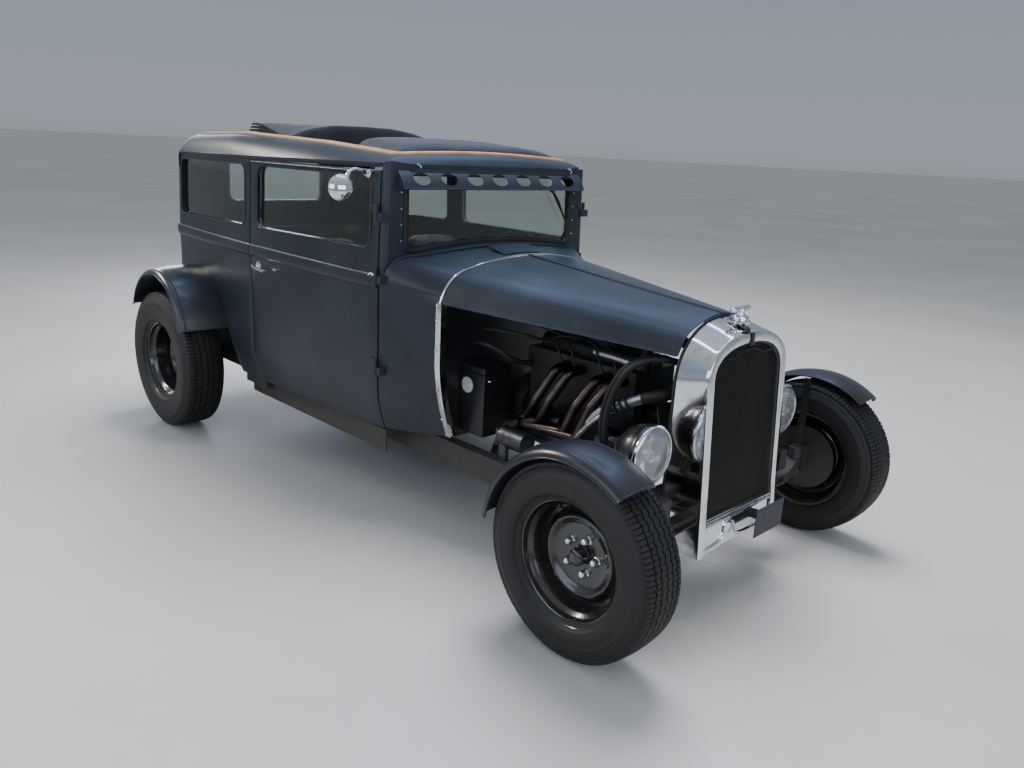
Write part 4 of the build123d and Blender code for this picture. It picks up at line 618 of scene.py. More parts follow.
# The key and the fills light the car, and the strip and the sheens are seen only as reflections
OVERHEAD = (1.6, 0.6, 6.4)
add_light("key", OVERHEAD, (0, 0, 0.7), (3.4, 3.4), 640, "#f6f7ff").visible_glossy = False
add_light("high_strip", (-2.8, 4.6, 4.4), (0, 0.4, 1.0), (2.6, 0.4), 330, "#fffaf2").visible_diffuse = False
add_light("sky_sheen", OVERHEAD, (0, 0, 0.7), (4.0, 4.0), 560, "#9fbcff").visible_diffuse = False
add_light("rear_sheen", (3.0, 7.4, 2.6), (0, 0.6, 1.0), (4.0, 1.4), 190, "#e6eeff").visible_diffuse = False
add_light("side_fill", (-6.0, -0.6, 2.6), (0, 0.4, 0.6), (6.0, 2.6), 120, "#dfe9ff")
add_light("front_fill", (-1.2, -6.0, 2.4), (0, -1.0, 0.5), (5.0, 2.2), 90, "#f3f6ff")

floor_mesh = bpy.data.meshes.new("studio_floor")
FLOOR_HALF = 400
floor_mesh.from_pydata([(x * FLOOR_HALF, y * FLOOR_HALF, 0) for x, y in ((-1, -1), (1, -1), (1, 1), (-1, 1))], [],
                       [(0, 1, 2, 3)])
floor = bpy.data.objects.new("studio_floor", floor_mesh)
scene.collection.objects.link(floor)
# Painted studio floor, pale grey with a faint mottle
floor_mesh.materials.append(enamel("studio_floor_paint", "#c9c8c4", "#bdbcb8", (0.5, 0.7), patch_mm=2500,
                                   grain_mm=40, grain_depth=0.1))


# Body plan: the long side arc, the rear corner and the crowned rear
def three_point_circle(points):
    """Centre and radius of the circle through three points, from two chords' midlines."""
    p, q, r = np.asarray(points, float)
    chords = np.array([q - p, r - p])
    centre = p + np.linalg.solve(chords, (chords**2).sum(1) / 2)
    return centre, np.linalg.norm(centre - p)


side_centre, side_r = three_point_circle([(POST_HALF_W, POST_Y), (WIDEST, DOOR_REAR_Y), (QUARTER_HALF_W, QUARTER_Y)])
rear_centre = np.array([0.0, REAR_Y - REAR_CROWN_R])
apart = rear_centre - side_centre
gap_r = np.hypot(*apart)
along = ((side_r - CORNER_R)**2 - (REAR_CROWN_R - CORNER_R)**2 + gap_r**2) / (2 * gap_r)
off = math.sqrt((side_r - CORNER_R)**2 - along**2)
corner_centre = side_centre + along * apart / gap_r + off * np.array([-apart[1], apart[0]]) / gap_r
if corner_centre[0] < 0 or corner_centre[1] < 0:
    corner_centre = side_centre + along * apart / gap_r - off * np.array([-apart[1], apart[0]]) / gap_r
side_turn = [math.asin((POST_Y - side_centre[1]) / side_r), math.atan2(*(corner_centre - side_centre)[::-1])]
rear_turn = [math.atan2(*(corner_centre - rear_centre)[::-1]), math.pi / 2]
plan_arcs = [(side_centre, side_r, *side_turn), (corner_centre, CORNER_R, side_turn[1], rear_turn[0]),
             (rear_centre, REAR_CROWN_R, *rear_turn)]
plan_runs = np.cumsum([0] + [arc[1] * (arc[3] - arc[2]) for arc in plan_arcs])


def plan(run, inset):
    """Plan point of the body's left side after a run from the windscreen post, drawn in by an inset."""
    run, inset = np.broadcast_arrays(np.asarray(run, float), np.asarray(inset, float))
    spot = np.zeros((*run.shape, 2))
    for begin, (centre, radius, low, _) in zip(plan_runs, plan_arcs):
        angle = low + (run - begin) / radius
        here = centre + (radius - inset)[..., None] * np.stack([np.cos(angle), np.sin(angle)], -1)
        spot = np.where((run >= begin - 1e-6)[..., None], here, spot)
    return spot


run_samples = np.linspace(0, plan_runs[2], 900)
run_stations = plan(run_samples, 0)[:, 1]


def run_at(y):
    """Run along the plan at a station."""
    return np.interp(y, run_stations, run_samples)


def smooth_step(x, low, high):
    """0 below low, 1 above high, with level ends."""
    t = np.clip((np.asarray(x, float) - low) / (high - low), 0, 1)
    return t * t * (3 - 2 * t)


# Belt roll as (height, how far it stands out). From front to rear it climbs by BELT_CLIMB, and the wall
# near it climbs along, fading over the two spans of BELT_BLEND.
belt_bump = np.array([(960, 0), (961, 4.0), (964, 7.5), (972, 10), (988, 11), (1004, 10), (1012, 7.5), (1015, 4),
                      (1016, 0)])
belt_marks = [*belt_bump[:, 0], 958, 979, 997, 1020]
BELT_CLIMB, BELT_BLEND = (-19, 21), ((600, 940), (1018, 1092))
UNDER_POWER = 1.889  # how fast the wall tucks in under the car


def wall_inset(z):
    """How far the wall stands in from the plan: a power curve under, the belt's bump and the lean."""
    under = TURN_UNDER * np.clip((TURN_TOP_Z - z) / (TURN_TOP_Z - SILL_Z), 0, 1)**UNDER_POWER
    lean = WALL_LEAN * np.clip((z - BELT_HIGH_Z) / (WALL_TOP_Z - BELT_HIGH_Z), 0, 1)
    return under + lean - np.interp(z, *belt_bump.T)


def wall_z(run, v):
    """The belt climbs to the rear, and takes the heights near it along."""
    climb = np.interp(run, (0, plan_runs[1]), BELT_CLIMB)
    return v + climb * smooth_step(v, *BELT_BLEND[0]) * (1 - smooth_step(v, *BELT_BLEND[1]))


def left_wall(run, v, sink):
    """Wall surface on the car's left."""
    spot = plan(run, wall_inset(v) + sink)
    return np.concatenate([spot, wall_z(run, v)[..., None]], -1)


wall_marks = belt_marks + [TURN_TOP_Z - 30, TURN_TOP_Z]


def wall_lines(extra):
    """Grid lines up the wall, with some at the belt, the tuck's top and the extra heights."""
    return lines(SILL_Z, WALL_TOP_Z, 34, [*wall_marks, *extra])


def side_window(y_span):
    """Side window's outline over (run, z), with its grid lines."""
    return rounded_hole((run_at(y_span[0]), run_at(y_span[1])), WINDOW_Z, WINDOW_CORNER)


def along_wall(outline, lift):
    """Points of a wall outline in space, lifted off the surface."""
    return left_wall(outline[:, 0], outline[:, 1], -lift * np.ones(len(outline)))


def window_trim(hole):
    """Rolled frame round a side window: a flat bead standing on the wall."""
    outline = hole[0]
    path = along_wall(outline, 0.0)
    middle = path.mean(0)
    outer = middle + (path - middle) * (1 + 7 / np.linalg.norm(path - middle, axis=1, keepdims=True))
    rings = np.stack([
        along_wall(outline, -14.0), along_wall(outline, 1.2), (along_wall(outline, 3.4) * 0.7 + outer * 0.3),
        outer + (along_wall(outline, 3.0) - path), outer + (outer - path) * 0.4 + (along_wall(outline, 0.6) - path),
        outer + (outer - path) * 0.5 + (along_wall(outline, -3.0) - path),
    ], 1)
    return grid(rings, wrap_rows=True, wrap_cols=True)


door_hole = side_window(DOOR_WINDOW_Y)
quarter_hole = side_window(QUARTER_WINDOW_Y)
door_u = lines(run_at(POST_Y + MOVE_GAP), run_at(DOOR_REAR_Y), 42, door_hole[1])
door_skin = panel(door_u, wall_lines(door_hole[2]), [door_hole[0]], left_wall, WALL_DEPTH)
door_shapes = [door_skin, window_trim(door_hole)]

# Wheel arch in the quarter panel, over (run, z)
ARCH_R, ARCH_REAR = 398, 230
turn = np.radians(np.linspace(180, 90, 25))
arch_y = np.concatenate([[WHEELBASE - ARCH_R], WHEELBASE + ARCH_R * np.cos(turn),
                         WHEELBASE + np.array([60, 118, 165, 203, 222, ARCH_REAR, ARCH_REAR])])
arch_z = np.concatenate([[SILL_Z - 50], REAR_TYRE_R + ARCH_R * np.sin(turn),
                         np.array([751, 738, 712, 668, 632, 596, SILL_Z - 50])])
arch_outline = np.stack([run_at(arch_y), arch_z], -1)
quarter_u = np.unique(np.concatenate([
    lines(run_at(DOOR_REAR_Y + MOVE_GAP), plan_runs[1], 30, [*quarter_hole[1], run_at(WHEELBASE - ARCH_R)]),
    np.linspace(plan_runs[1], plan_runs[2], 17)]))
arch_lines = [REAR_TYRE_R, 400, 440, 600, 632, 668, 690, 712, 738, 751]
quarter_skin = panel(quarter_u, wall_lines([*quarter_hole[2], *arch_lines]), [quarter_hole[0], arch_outline],
                     left_wall, WALL_DEPTH)
quarter_shapes = [quarter_skin, window_trim(quarter_hole)]


def rear_wall(u, v, sink):
    """Rear wall, over the distance across from the middle."""
    angle = math.pi / 2 - u / REAR_CROWN_R
    radius = REAR_CROWN_R - wall_inset(v) - sink
    spot = rear_centre + radius[..., None] * np.stack([np.cos(angle), np.sin(angle)], -1)
    return np.concatenate([spot, wall_z(np.full_like(v, plan_runs[2]), v)[..., None]], -1)


rear_half = REAR_CROWN_R * (math.pi / 2 - rear_turn[0])
rear_hole = rounded_hole((-300, 300), (1150, 1368), WINDOW_CORNER)
rear_skin = panel(lines(-rear_half, rear_half, 42, rear_hole[1]), wall_lines(rear_hole[2]), [rear_hole[0]],
                  rear_wall, WALL_DEPTH)

make_piece("quarter_skins", quarter_shapes + flipped(quarter_shapes), "chassis", body_paint,
           ["quarter_panels"])
make_piece("rear_skin", [rear_skin], "chassis", body_paint, ["rear_panel"])


# Roof: crowned across and along, rounded down to the plan's edge
ROOF_FRONT_Y = 1226
roof_y = (ROOF_FRONT_Y, 1800, 2500, REAR_Y)
# Heights at these stations: the middle, the shoulder, how far out the shoulder is, and the edge
ROOF_TOPS, ROOF_SHOULDERS = (1472, 1516, 1540, 1522), (1456, 1492, 1516, 1500)
SHOULDER_X, ROOF_EDGES = (500, 480, 470, 480), (1424, 1416, 1411, 1405)
EDGE_FADE, EDGE_POWER, FRONT_FADE, FRONT_POWER = 150, 3.27, 62, 2.6
FRONT_CORNER = 34


def roof_top_z(x, y):
    """Crown height: a parabola across whose middle and shoulder rise and fall along the roof."""
    top, shoulder = np.interp(y, roof_y, ROOF_TOPS), np.interp(y, roof_y, ROOF_SHOULDERS)
    return top - (top - shoulder) * (x / np.interp(y, roof_y, SHOULDER_X))**2


roof_ring = plan(np.linspace(0, plan_runs[-1], 240), WALL_LEAN)
roof_ring = np.concatenate([[[roof_ring[0, 0] - 1, 900]], roof_ring])
roof_ring = np.concatenate([roof_ring, (roof_ring * (-1, 1))[::-1]])


def crown_back(x):
    """How far the crowned rear edge falls short of the middle."""
    return REAR_CROWN_R - np.sqrt(REAR_CROWN_R**2 - x**2)


def roof_half_w(v):
    """Half-width of the roof at a straightened station."""
    right = roof_ring[1:241]
    return np.interp(v, right[:, 1] + crown_back(right[:, 0]), right[:, 0])


def roof_at(x, y, sink=0.0):
    """Roof surface: the crown less a drop that grows with a power of nearness to the edge."""
    far = nearest(x, y, roof_ring)[2]
    top, edge = roof_top_z(x, y), np.interp(y, roof_y, ROOF_EDGES)
    side = np.clip(1 - far / EDGE_FADE, 0, 1)**EDGE_POWER * (top - edge)
    front = np.clip(1 - (y - ROOF_FRONT_Y) / FRONT_FADE, 0, 1)**FRONT_POWER * (top - HEADER_Z)
    return np.stack([x, y, top - (side**3 + front**3)**(1 / 3) - sink], -1)


def roof_place(u, v, sink):
    """Roof over u, from side to side, and v, a straightened station: the front corners are drawn in
    by a square and its front edge bows back at the sides by a high power."""
    half = roof_half_w(np.maximum(v, POST_Y))
    round_front = FRONT_CORNER * np.clip(1 - (v - ROOF_FRONT_Y) / FRONT_CORNER, 0, 1)**2 * 0.5
    x = u * (half - round_front)
    y = v - crown_back(x) * smooth_step(v, 2400, 3000) + (POST_Y - ROOF_FRONT_Y) * 0.9 * np.abs(u)**14 * (
        1 - smooth_step(v, ROOF_FRONT_Y, POST_Y + 40))
    return roof_at(x, y, sink)


SUNROOF_HALF, SUNROOF_Y = 445, (1322, 2560)
hole_v = np.array([SUNROOF_Y[0], SUNROOF_Y[0] + 300, 2100, SUNROOF_Y[1]])
hole_u = SUNROOF_HALF / roof_half_w(hole_v)
sunroof_hole = np.concatenate([np.stack([hole_u, hole_v], -1), np.stack([-hole_u, hole_v], -1)[::-1]])
edge_steps = 1 - np.linspace(0, 1, 12)**1.7 * 0.3
roof_u = np.unique(np.round(np.concatenate([np.linspace(-0.7, 0.7, 27), edge_steps, -edge_steps]), 5))
roof_v = np.unique(np.round(np.concatenate([
    ROOF_FRONT_Y + np.array([0, 1.5, 4, 8, 13, 19, 26, 34, 44, 56, 70]), np.linspace(SUNROOF_Y[0], 2960, 44),
    SUNROOF_Y, REAR_Y - 180 * np.linspace(0, 1, 24)**1.8]), 3))
roof_skin = panel(roof_u, roof_v, [sunroof_hole], roof_place, 14, rounding=0.001)
make_piece("roof_skin", [roof_skin], "chassis", body_paint, ["roof_shell"])

# Drip rails: a rolled gutter along each side that turns down at its rear
rail_profile = [(-5, -4), (5, -4), (7, -1), (7, 4), (4, 6), (2, 2), (-5, 1)]
rail_runs = np.linspace(4, run_at(2975), 70)
rail_z = np.interp(rail_runs, (0, run_at(3000)), (1426, 1404))
rail_path = np.c_[plan(rail_runs, WALL_LEAN - 4), rail_z]
tail_turn = np.radians(np.linspace(8, 90, 9))
tail_runs = rail_runs[-1] + 26 * np.sin(tail_turn)
rail_tail = np.c_[plan(tail_runs, WALL_LEAN - 4), rail_z[-1] - 26 * (1 - np.cos(tail_turn))]
rail_end = np.c_[plan(np.full(5, tail_runs[-1]), WALL_LEAN - 4), rail_tail[-1, 2] - np.linspace(8, 46, 5)]
rail = sweep(np.concatenate([rail_path, rail_tail, rail_end]), np.array(rail_profile)[:, ::-1] * (1, -1) * 0.9,
             guide=(1, 0, 0))
make_piece("drip_rails", [rail, *flipped([rail])], "chassis", body_paint, sharp=50)

# Tan strips round the roof opening: a ring of half-round strip laid on the roof, in two stripes
STRIP_HALF, STRIP_Y = 466, (1297, 3052)


def roof_track(half, y_span, corner, count=160):
    """A rounded rectangle in plan, lifted onto the roof."""
    outline = rounded_hole((-half, half), y_span, corner, 8)[0]
    closed = np.concatenate([outline, outline[:1]])
    run = np.r_[0, np.cumsum(np.hypot(*np.diff(closed, axis=0).T))]
    even = np.sort(np.concatenate([np.linspace(0, run[-1], count, endpoint=False), run[:-1]]))
    even = even[np.r_[True, np.diff(even) > 1.5]]
    return roof_at(np.interp(even, run, closed[:, 0]), np.interp(even, run, closed[:, 1]))


strips = [sweep(roof_track(STRIP_HALF + k * 21, (STRIP_Y[0] - k * 14, STRIP_Y[1] + k * 14), 24),
                [(-8.5, -4), (8.5, -4), (8.5, 5), (5, 9), (-5, 9), (-8.5, 5)], closed=True, guide=(0, 0, 1))
          for k in (0, 1)]
make_piece("tan_strips", strips, "chassis", tan_strip, ["roof_strips"], sharp=50)

# Folding roof: the cloth-covered front panel, a low arch with rounded front corners
PANEL_HALF, PANEL_SPAN = 449, (1306, 1600)
DOME_RISE, RIM_RISE, RIM_WIDTH = 24, 34, 60


def front_panel_at(u, v):
    """Cloth panel: a fourth-power dome across, falling in a quarter circle to its rim, with a ripple."""
    x, y = u * PANEL_HALF, v
    rim = np.minimum(PANEL_HALF * (1 - np.abs(u)), np.minimum(v - PANEL_SPAN[0], 200))
    fall = RIM_RISE * (1 - np.sqrt(np.clip(1 - (1 - np.clip(rim / RIM_WIDTH, 0, 1))**2, 0, 1)))
    ripple = 0.8 * np.sin(u * 23 + v * 0.02) * np.sin(v * 0.031 + u * 5)
    base = roof_top_z(np.zeros_like(x), y) + 8
    return np.stack([x, y, base + DOME_RISE * (1 - u**4) - fall * 0.75 + ripple], -1)


edge = np.linspace(0, 1, 10)**1.6 * 0.14
panel_u = np.unique(np.round(np.r_[-1 + edge, np.linspace(-0.85, 0.85, 26), 1 - edge], 5))
panel_v = np.unique(np.round(np.r_[PANEL_SPAN[0] + edge * 420, np.linspace(1370, PANEL_SPAN[1], 16)], 3))
u, v = np.meshgrid(panel_u, panel_v, indexing="ij")
top = front_panel_at(u, v)
lip = top.copy()
lip[..., 2] -= 7


def solid_sheet(top, under):
    """Two like grids joined by a rim all round."""
    rows, cols = top.shape[:2]
    cells = quads(rows, cols)
    count = rows * cols
    ring = np.concatenate([np.arange(cols), np.arange(1, rows) * cols + cols - 1,
                           (rows - 1) * cols + np.arange(cols - 2, -1, -1), np.arange(rows - 2, 0, -1) * cols])
    after = np.roll(ring, -1)
    return (np.concatenate([top.reshape(-1, 3), under.reshape(-1, 3)]),
            np.concatenate([cells, cells[:, ::-1] + count, np.stack([after, ring, ring + count, after + count], -1)]))


piping = sweep(np.concatenate([front_panel_at(np.full(20, -0.995), np.linspace(1600, 1312, 20)),
                               front_panel_at(np.linspace(-0.99, 0.99, 40), np.full(40, PANEL_SPAN[0] + 1.0)),
                               front_panel_at(np.full(20, 0.995), np.linspace(1312, 1600, 20))]) - (0, 0, 1),
               circle(4, 8))
front_cloth = make_piece("roof_front_panel", [solid_sheet(top, lip), piping], "chassis", roof_cloth,
                         ["roof_top"])

# Folded stack: one long sheet in six runs, close together at the rear, arched open in front and drawn down its face
FOLD_Y, FOLD_HALF = (2188, 2588), 441
FRONT_Z, BACK_Z, BACK_STEP = 1492, 1537, 7.4
RUNS, RUN_POINTS, RUN_SHIFT = 6, 30, 14
CLOTH_HALF_THICK, BOW_GAP = 1.4, 2.6  # a bow lies this far from the middle of the cloth over and under it


def fold_gap(across, rise):
    """Height from one fold to the next: it opens in the middle of the front and closes at the sides."""
    return (3.4 + 13.3 * (1 - np.abs(across)**3)) * (1 - rise) + BACK_STEP * rise


def fold_height(k, across, y, rise):
    """Height of fold k, with a shallow ripple."""
    rest = FRONT_Z * (1 - rise) + (BACK_Z - 8 * across**4) * rise
    return rest + k * fold_gap(across, rise) + np.sin(across * 17 + 2) * np.sin(y * 0.024)


def fold_span(k):
    """Front and rear ends of run k: each pair of runs reaches further forward."""
    return FOLD_Y[0] + RUN_SHIFT * (2 - k // 2), FOLD_Y[1] - 30 - RUN_SHIFT * (k // 2)


def run_rise(k, y):
    """Share of the way from the low front of run k to its high rear, with level ends."""
    near, far = fold_span(k)
    return smooth_step((y - near) / (far - near), 0, 0.9)


def fold_section():
    """Columns y, fold, rise, bulge and fall: long runs joined by half turns, then a quarter round down
    the face."""
    path = []
    for k in range(RUNS):
        way = 1 if k % 2 == 0 else -1
        y = np.linspace(*fold_span(k), RUN_POINTS)[::way]
        rise = run_rise(k, y)
        flat = np.zeros(RUN_POINTS)
        path.append(np.stack([y, flat + k, rise, flat, flat], -1))
        if k < RUNS - 1:
            turn = np.linspace(-np.pi / 2, np.pi / 2, 9)[1:-1]
            flat = np.zeros(len(turn))
            path.append(np.stack([flat + y[-1], k + (1 + np.sin(turn)) / 2, flat + rise[-1], way * np.cos(turn),
                                  flat], -1))
    drop = np.linspace(0, np.pi / 2, 13)[1:]
    flat = np.zeros(len(drop))
    path.append(np.stack([fold_span(5)[0] - 15 * np.sin(drop), flat + 5, flat, flat, 1 - np.cos(drop)], -1))
    return np.concatenate(path)


across = np.linspace(-1, 1, 61)[:, None]
fold_y, fold_k, fold_rise, bulge, fall = fold_section().T
waver = (1 - fold_rise) * 3 * np.sin(across * 6 + fold_k // 2 * 2.1)
cloth_y = fold_y + bulge * (3 + 0.5 * fold_gap(across, fold_rise)) + waver
cloth_z = fold_height(fold_k, across, fold_y, fold_rise)
cloth_z -= fall * (cloth_z - FRONT_Z + 2)
stack_points = np.stack([np.broadcast_to(across * FOLD_HALF, cloth_z.shape), cloth_y, cloth_z], -1)
run = np.linalg.norm(np.diff(stack_points[30], axis=0), axis=1).sum() / 1000
normal = np.stack([-np.gradient(cloth_z, axis=1), np.gradient(cloth_y, axis=1)], -1)
normal *= CLOTH_HALF_THICK / np.linalg.norm(normal, axis=-1, keepdims=True)
over, below = stack_points.copy(), stack_points.copy()
over[..., 1:] += normal
below[..., 1:] -= normal
stack = make_piece("roof_stack", [solid_sheet(over, below)], "chassis", roof_cloth, sharp=60)

# Flat cross bows between the folds: the roof's black slats
bows = []
for k in range(4):
    for front, back in ((40, 96), (160, 210), (290, 330)):
        bow_x, bow_y = np.meshgrid(np.linspace(-0.78, 0.78, 41), FOLD_Y[0] + np.linspace(front, back, 5), indexing="ij")
        faces = []
        for j, lift in ((k + 1, -BOW_GAP), (k, BOW_GAP)):
            height = fold_height(j, bow_x, bow_y, run_rise(j, bow_y)) + lift
            faces.append(np.stack([bow_x * FOLD_HALF, bow_y, height], -1))
        bows.append(solid_sheet(*faces))
make_piece("roof_bows", bows, "chassis", satin_black)


# Cowl and hood sections: arcs and straights from the lower edge over the shoulder to the crown
def bend(start, via, end, steps):
    """Arc through three points, without its end point."""
    centre, radius = three_point_circle([start, via, end])
    a, b, c = (math.atan2(p[1] - centre[1], p[0] - centre[0]) for p in (start, via, end))
    way = math.copysign(1, math.sin(b - a) if abs(math.sin(b - a)) > 1e-9 else 1)
    sweep_angle = (way * (c - a)) % (2 * math.pi)
    angle = a + way * np.linspace(0, sweep_angle, steps + 1)[:-1]
    return centre + radius * np.stack([np.cos(angle), np.sin(angle)], -1)


def straight(start, end, steps):
    """Even points on a line, without its end point."""
    return np.linspace(start, end, steps + 1)[:-1]


def eased(points, rounds):
    """Each inner point moves half way to the middle of its neighbours, a number of times."""
    points = np.array(points, float)
    for _ in range(rounds):
        points[1:-1] += 0.5 * ((points[:-2] + points[2:]) / 2 - points[1:-1])
    return points


def cowl_section(low, bulge, side_low, side_high, shoulder, top, crown):
    """A whole section, (x, z) from the right foot to the left: an arc under, a straight side, a shoulder
    arc and a crown arc, eased where they meet."""
    left = np.concatenate([
        bend(low, bulge, side_low, 14), straight(side_low, side_high, 26), bend(side_high, shoulder, top, 26),
        bend(top, (top[0] * 0.5, crown - (crown - top[1]) * 0.27), (0, crown), 30), [(0, crown)],
    ])
    left = eased(left, 5)
    left[-1] = 0, crown
    return np.concatenate([left, left[-2::-1] * (-1, 1)])


post_section = cowl_section((-556, 345), (-588, 450), (-596, 560), (-596, 985), (-574, 1046), (-486, 1080), 1114)
front_section = cowl_section((-406, 345), (-452, 490), (-476, 640), (-476, 905), (-436, 984), (-330, 1036), 1078)
section_count = len(post_section)


def section_normals(points):
    """Outward directions of a section in its own plane."""
    ahead = np.gradient(points, axis=0)
    ahead /= np.linalg.norm(ahead, axis=1, keepdims=True)
    return np.stack([-ahead[:, 1], ahead[:, 0]], -1)


def on_section(table, index):
    """Values between a section's points."""
    low = np.clip(index.astype(int), 0, len(table) - 2)
    part = (index - low)[..., None]
    return table[low] * (1 - part) + table[low + 1] * part


def between(first, second, index, t):
    """Point and outward direction a share t of the way from one section to another."""
    ends = (first, second), (section_normals(first), section_normals(second))
    return [on_section(one, index) * (1 - t) + on_section(two, index) * t for one, two in ends]


def cowl_at(index, y, sink):
    """Cowl surface between its two sections, with a small step down under the belt line."""
    t = ((y - COWL_Y) / (POST_Y - COWL_Y))[..., None]
    spot, normal = between(front_section, post_section, index, t)
    belt_z = 941 + 26 * t[..., 0]
    step = 4.0 * (1 - smooth_step(spot[..., 1], belt_z - 2.5, belt_z + 1.5))
    raised = -3.0 * smooth_step(y - cowl_line(index), 0, 5) * smooth_step(spot[..., 1], 1000, 1030)
    spot = spot - normal * (sink + step + raised)[..., None]
    return np.stack([spot[..., 0], y, spot[..., 1]], -1)


LINE_Y = 1158


def cowl_line(index):
    """Station of the raised line under the windscreen: forward in the middle and back at the sides."""
    across = np.abs(index / (section_count - 1) * 2 - 1)
    return LINE_Y + 52 * np.clip(across / 0.42, 0, 1)**2


index_u = np.arange(section_count, dtype=float)
cowl_skin = panel(index_u, lines(COWL_Y, POST_Y, 9, [LINE_Y + k for k in range(0, 60, 4)], rounding=2),
                  [], cowl_at, 22, rounding=2)
line_index = np.linspace(section_count * 0.27, section_count * 0.73 - 1, 90)
bead_path = cowl_at(line_index, cowl_line(line_index) + 3, np.full(90, -2.4))
bead = sweep(bead_path, circle(3.4, 8))
vent_low, vent_high = 1040, 1126
vent_u = np.linspace(section_count / 2 - 9.5, section_count / 2 + 8.5, 20)
u, v = np.meshgrid(vent_u, np.linspace(vent_low, vent_high, 12), indexing="ij")
flap_top = cowl_at(u, v, np.full(u.shape, -4.5))
flap_top[..., 2] += 12 * ((v - vent_low) / (vent_high - vent_low))**1.3
flap = solid_sheet(flap_top, flap_top - (0, 0, 3))
make_piece("cowl_skin", [cowl_skin, bead], "chassis", body_paint, ["cowl"])
make_piece("cowl_vent_flap", [flap], "chassis", body_paint)

# Windscreen surround: front face, rounded corner posts and side returns, with the screen opening
SURROUND_Y = (1224, 1250)
POST_ROUND = 24
face_half = POST_HALF_W - 1 - POST_ROUND
arc_run = POST_ROUND * np.pi / 2


def foot_z(x):
    """Height of the cowl's top line across."""
    upper = post_section[(post_section[:, 1] > 1000) & (post_section[:, 0] <= 0)]
    return np.interp(-np.abs(x), upper[:, 0], upper[:, 1])


def surround_at(u, v, sink):
    """u runs across the face and round the posts in a quarter circle; v runs from foot to header."""
    side = np.sign(u)
    past = np.clip(np.abs(u) - face_half, 0, None)
    angle = np.clip(past / POST_ROUND, 0, np.pi / 2)
    back = np.clip(past - arc_run, 0, None)
    radius = POST_ROUND - sink
    x = side * (np.minimum(np.abs(u), face_half) + radius * np.sin(angle))
    y = SURROUND_Y[0] + POST_ROUND - radius * np.cos(angle) + back
    low = np.where(np.abs(x) > 585, 985, foot_z(x) - 6)
    z = low + v * (HEADER_Z - low)
    lean = WALL_LEAN * np.clip((z - BELT_HIGH_Z) / (WALL_TOP_Z - BELT_HIGH_Z), 0, 1)
    return np.stack([x - side * lean * smooth_step(np.abs(u), 300, face_half), y, z], -1)


screen_points = np.array([(-486, 1122), (-484, 1106), (-478, 1094), (-467, 1086), (-450, 1083)])
low_x = np.linspace(-440, 440, 45)
screen_low = np.c_[low_x, 1113 - 30 * (low_x / 450)**2]
turn = np.radians(np.linspace(0, 90, 9))
screen_high = np.c_[486 - WINDOW_CORNER + WINDOW_CORNER * np.cos(turn),
                    1396 - WINDOW_CORNER + WINDOW_CORNER * np.sin(turn)]
screen_outline = np.concatenate([screen_points, screen_low, screen_points[::-1] * (-1, 1), screen_high,
                                 screen_high[::-1] * (-1, 1)])
low = foot_z(screen_outline[:, 0]) - 6
screen_uv = np.c_[screen_outline[:, 0], (screen_outline[:, 1] - low) / (HEADER_Z - low)]
edge_u = face_half + np.r_[np.linspace(0, arc_run, 9)[1:], arc_run + (SURROUND_Y[1] - SURROUND_Y[0] - POST_ROUND)]
face_u = np.unique(np.round(np.r_[np.linspace(-face_half, face_half, 61), screen_high[:, 0], -screen_high[:, 0],
                                  screen_points[:, 0], -screen_points[:, 0]], 2))
surround_u = np.r_[-edge_u[::-1], face_u, edge_u]
surround_v = np.unique(np.round(np.r_[np.linspace(0, 1, 27), np.linspace(0.86, 0.96, 8),
                                      np.linspace(0.05, 0.2, 8)], 4))
surround_skin = panel(surround_u, surround_v, [screen_uv], surround_at, 22, rounding=0.0001)
make_piece("surround_skin", [surround_skin], "chassis", body_paint, ["windscreen_surround"])
rubber_path = np.c_[screen_outline[:, 0], np.full(len(screen_outline), SURROUND_Y[0]), screen_outline[:, 1]]
screen_rubber = sweep(rubber_path, [(-14, -1), (-13, 5), (-7, 8), (4, 8), (11, 4), (12, -4), (6, -9), (-9, -9)],
                      closed=True, guide=(0, -1, 0))
make_piece("screen_rubber", [screen_rubber], "chassis", rubber)

# Bright band on the cowl's front edge: a fine bead over the top, and wide strips on the sides
band_normal = section_normals(front_section)
band_x, band_z = (front_section[6:-6] + band_normal[6:-6] * 1.5).T
band_bead = sweep(np.c_[band_x, np.full(len(band_x), COWL_Y - 6.0), band_z], circle(4.6, 10))
low_part = front_section[:44]
low_part = low_part[low_part[:, 1] < 915]
side_normal = band_normal[:len(low_part)]


def strip_ring(inset, y):
    """The section's side, drawn in by an inset, at a station."""
    spot = low_part - side_normal * inset
    return np.stack([spot[:, 0], np.full(len(spot), y), spot[:, 1]], -1)


strip_rows = [strip_ring(k, COWL_Y + y) for k, y in ((-1, 22), (-3, 21), (-3, -12), (-1, -14), (28, -14), (28, -10),
                                                     (4, -9), (4, 20))]
side_strip = grid(np.stack(strip_rows, 1), wrap_cols=True)
rivets = [lathe([(-3.2, 0.01), (-3.6, 2.2), (-5.2, 4.2), (0, 4.6)], (x, COWL_Y + 5, z), outward=(1, 0, 0), sides=10)
          for x, z in low_part[4::6] - side_normal[4::6] * -3.4]
make_piece("cowl_band_skin", [band_bead, side_strip, *flipped([side_strip]), *rivets, *flipped(rivets)], "chassis",
           chrome, ["cowl_band"])

# Hood halves: ruled between a small front section and a wide rear one, with a rolled lower edge
HOOD_Y, HOOD_CROWN = (52, 996), 4


def hood_half(ridge_z, mid, top, shoulder, edge):
    """The right half's section, (x, z) from the ridge to the lower edge: two arcs, eased where they meet."""
    left = np.concatenate([bend((-7.6, ridge_z), mid, top, 26), bend(top, shoulder, edge, 20), [edge]])
    return eased(left, 6)


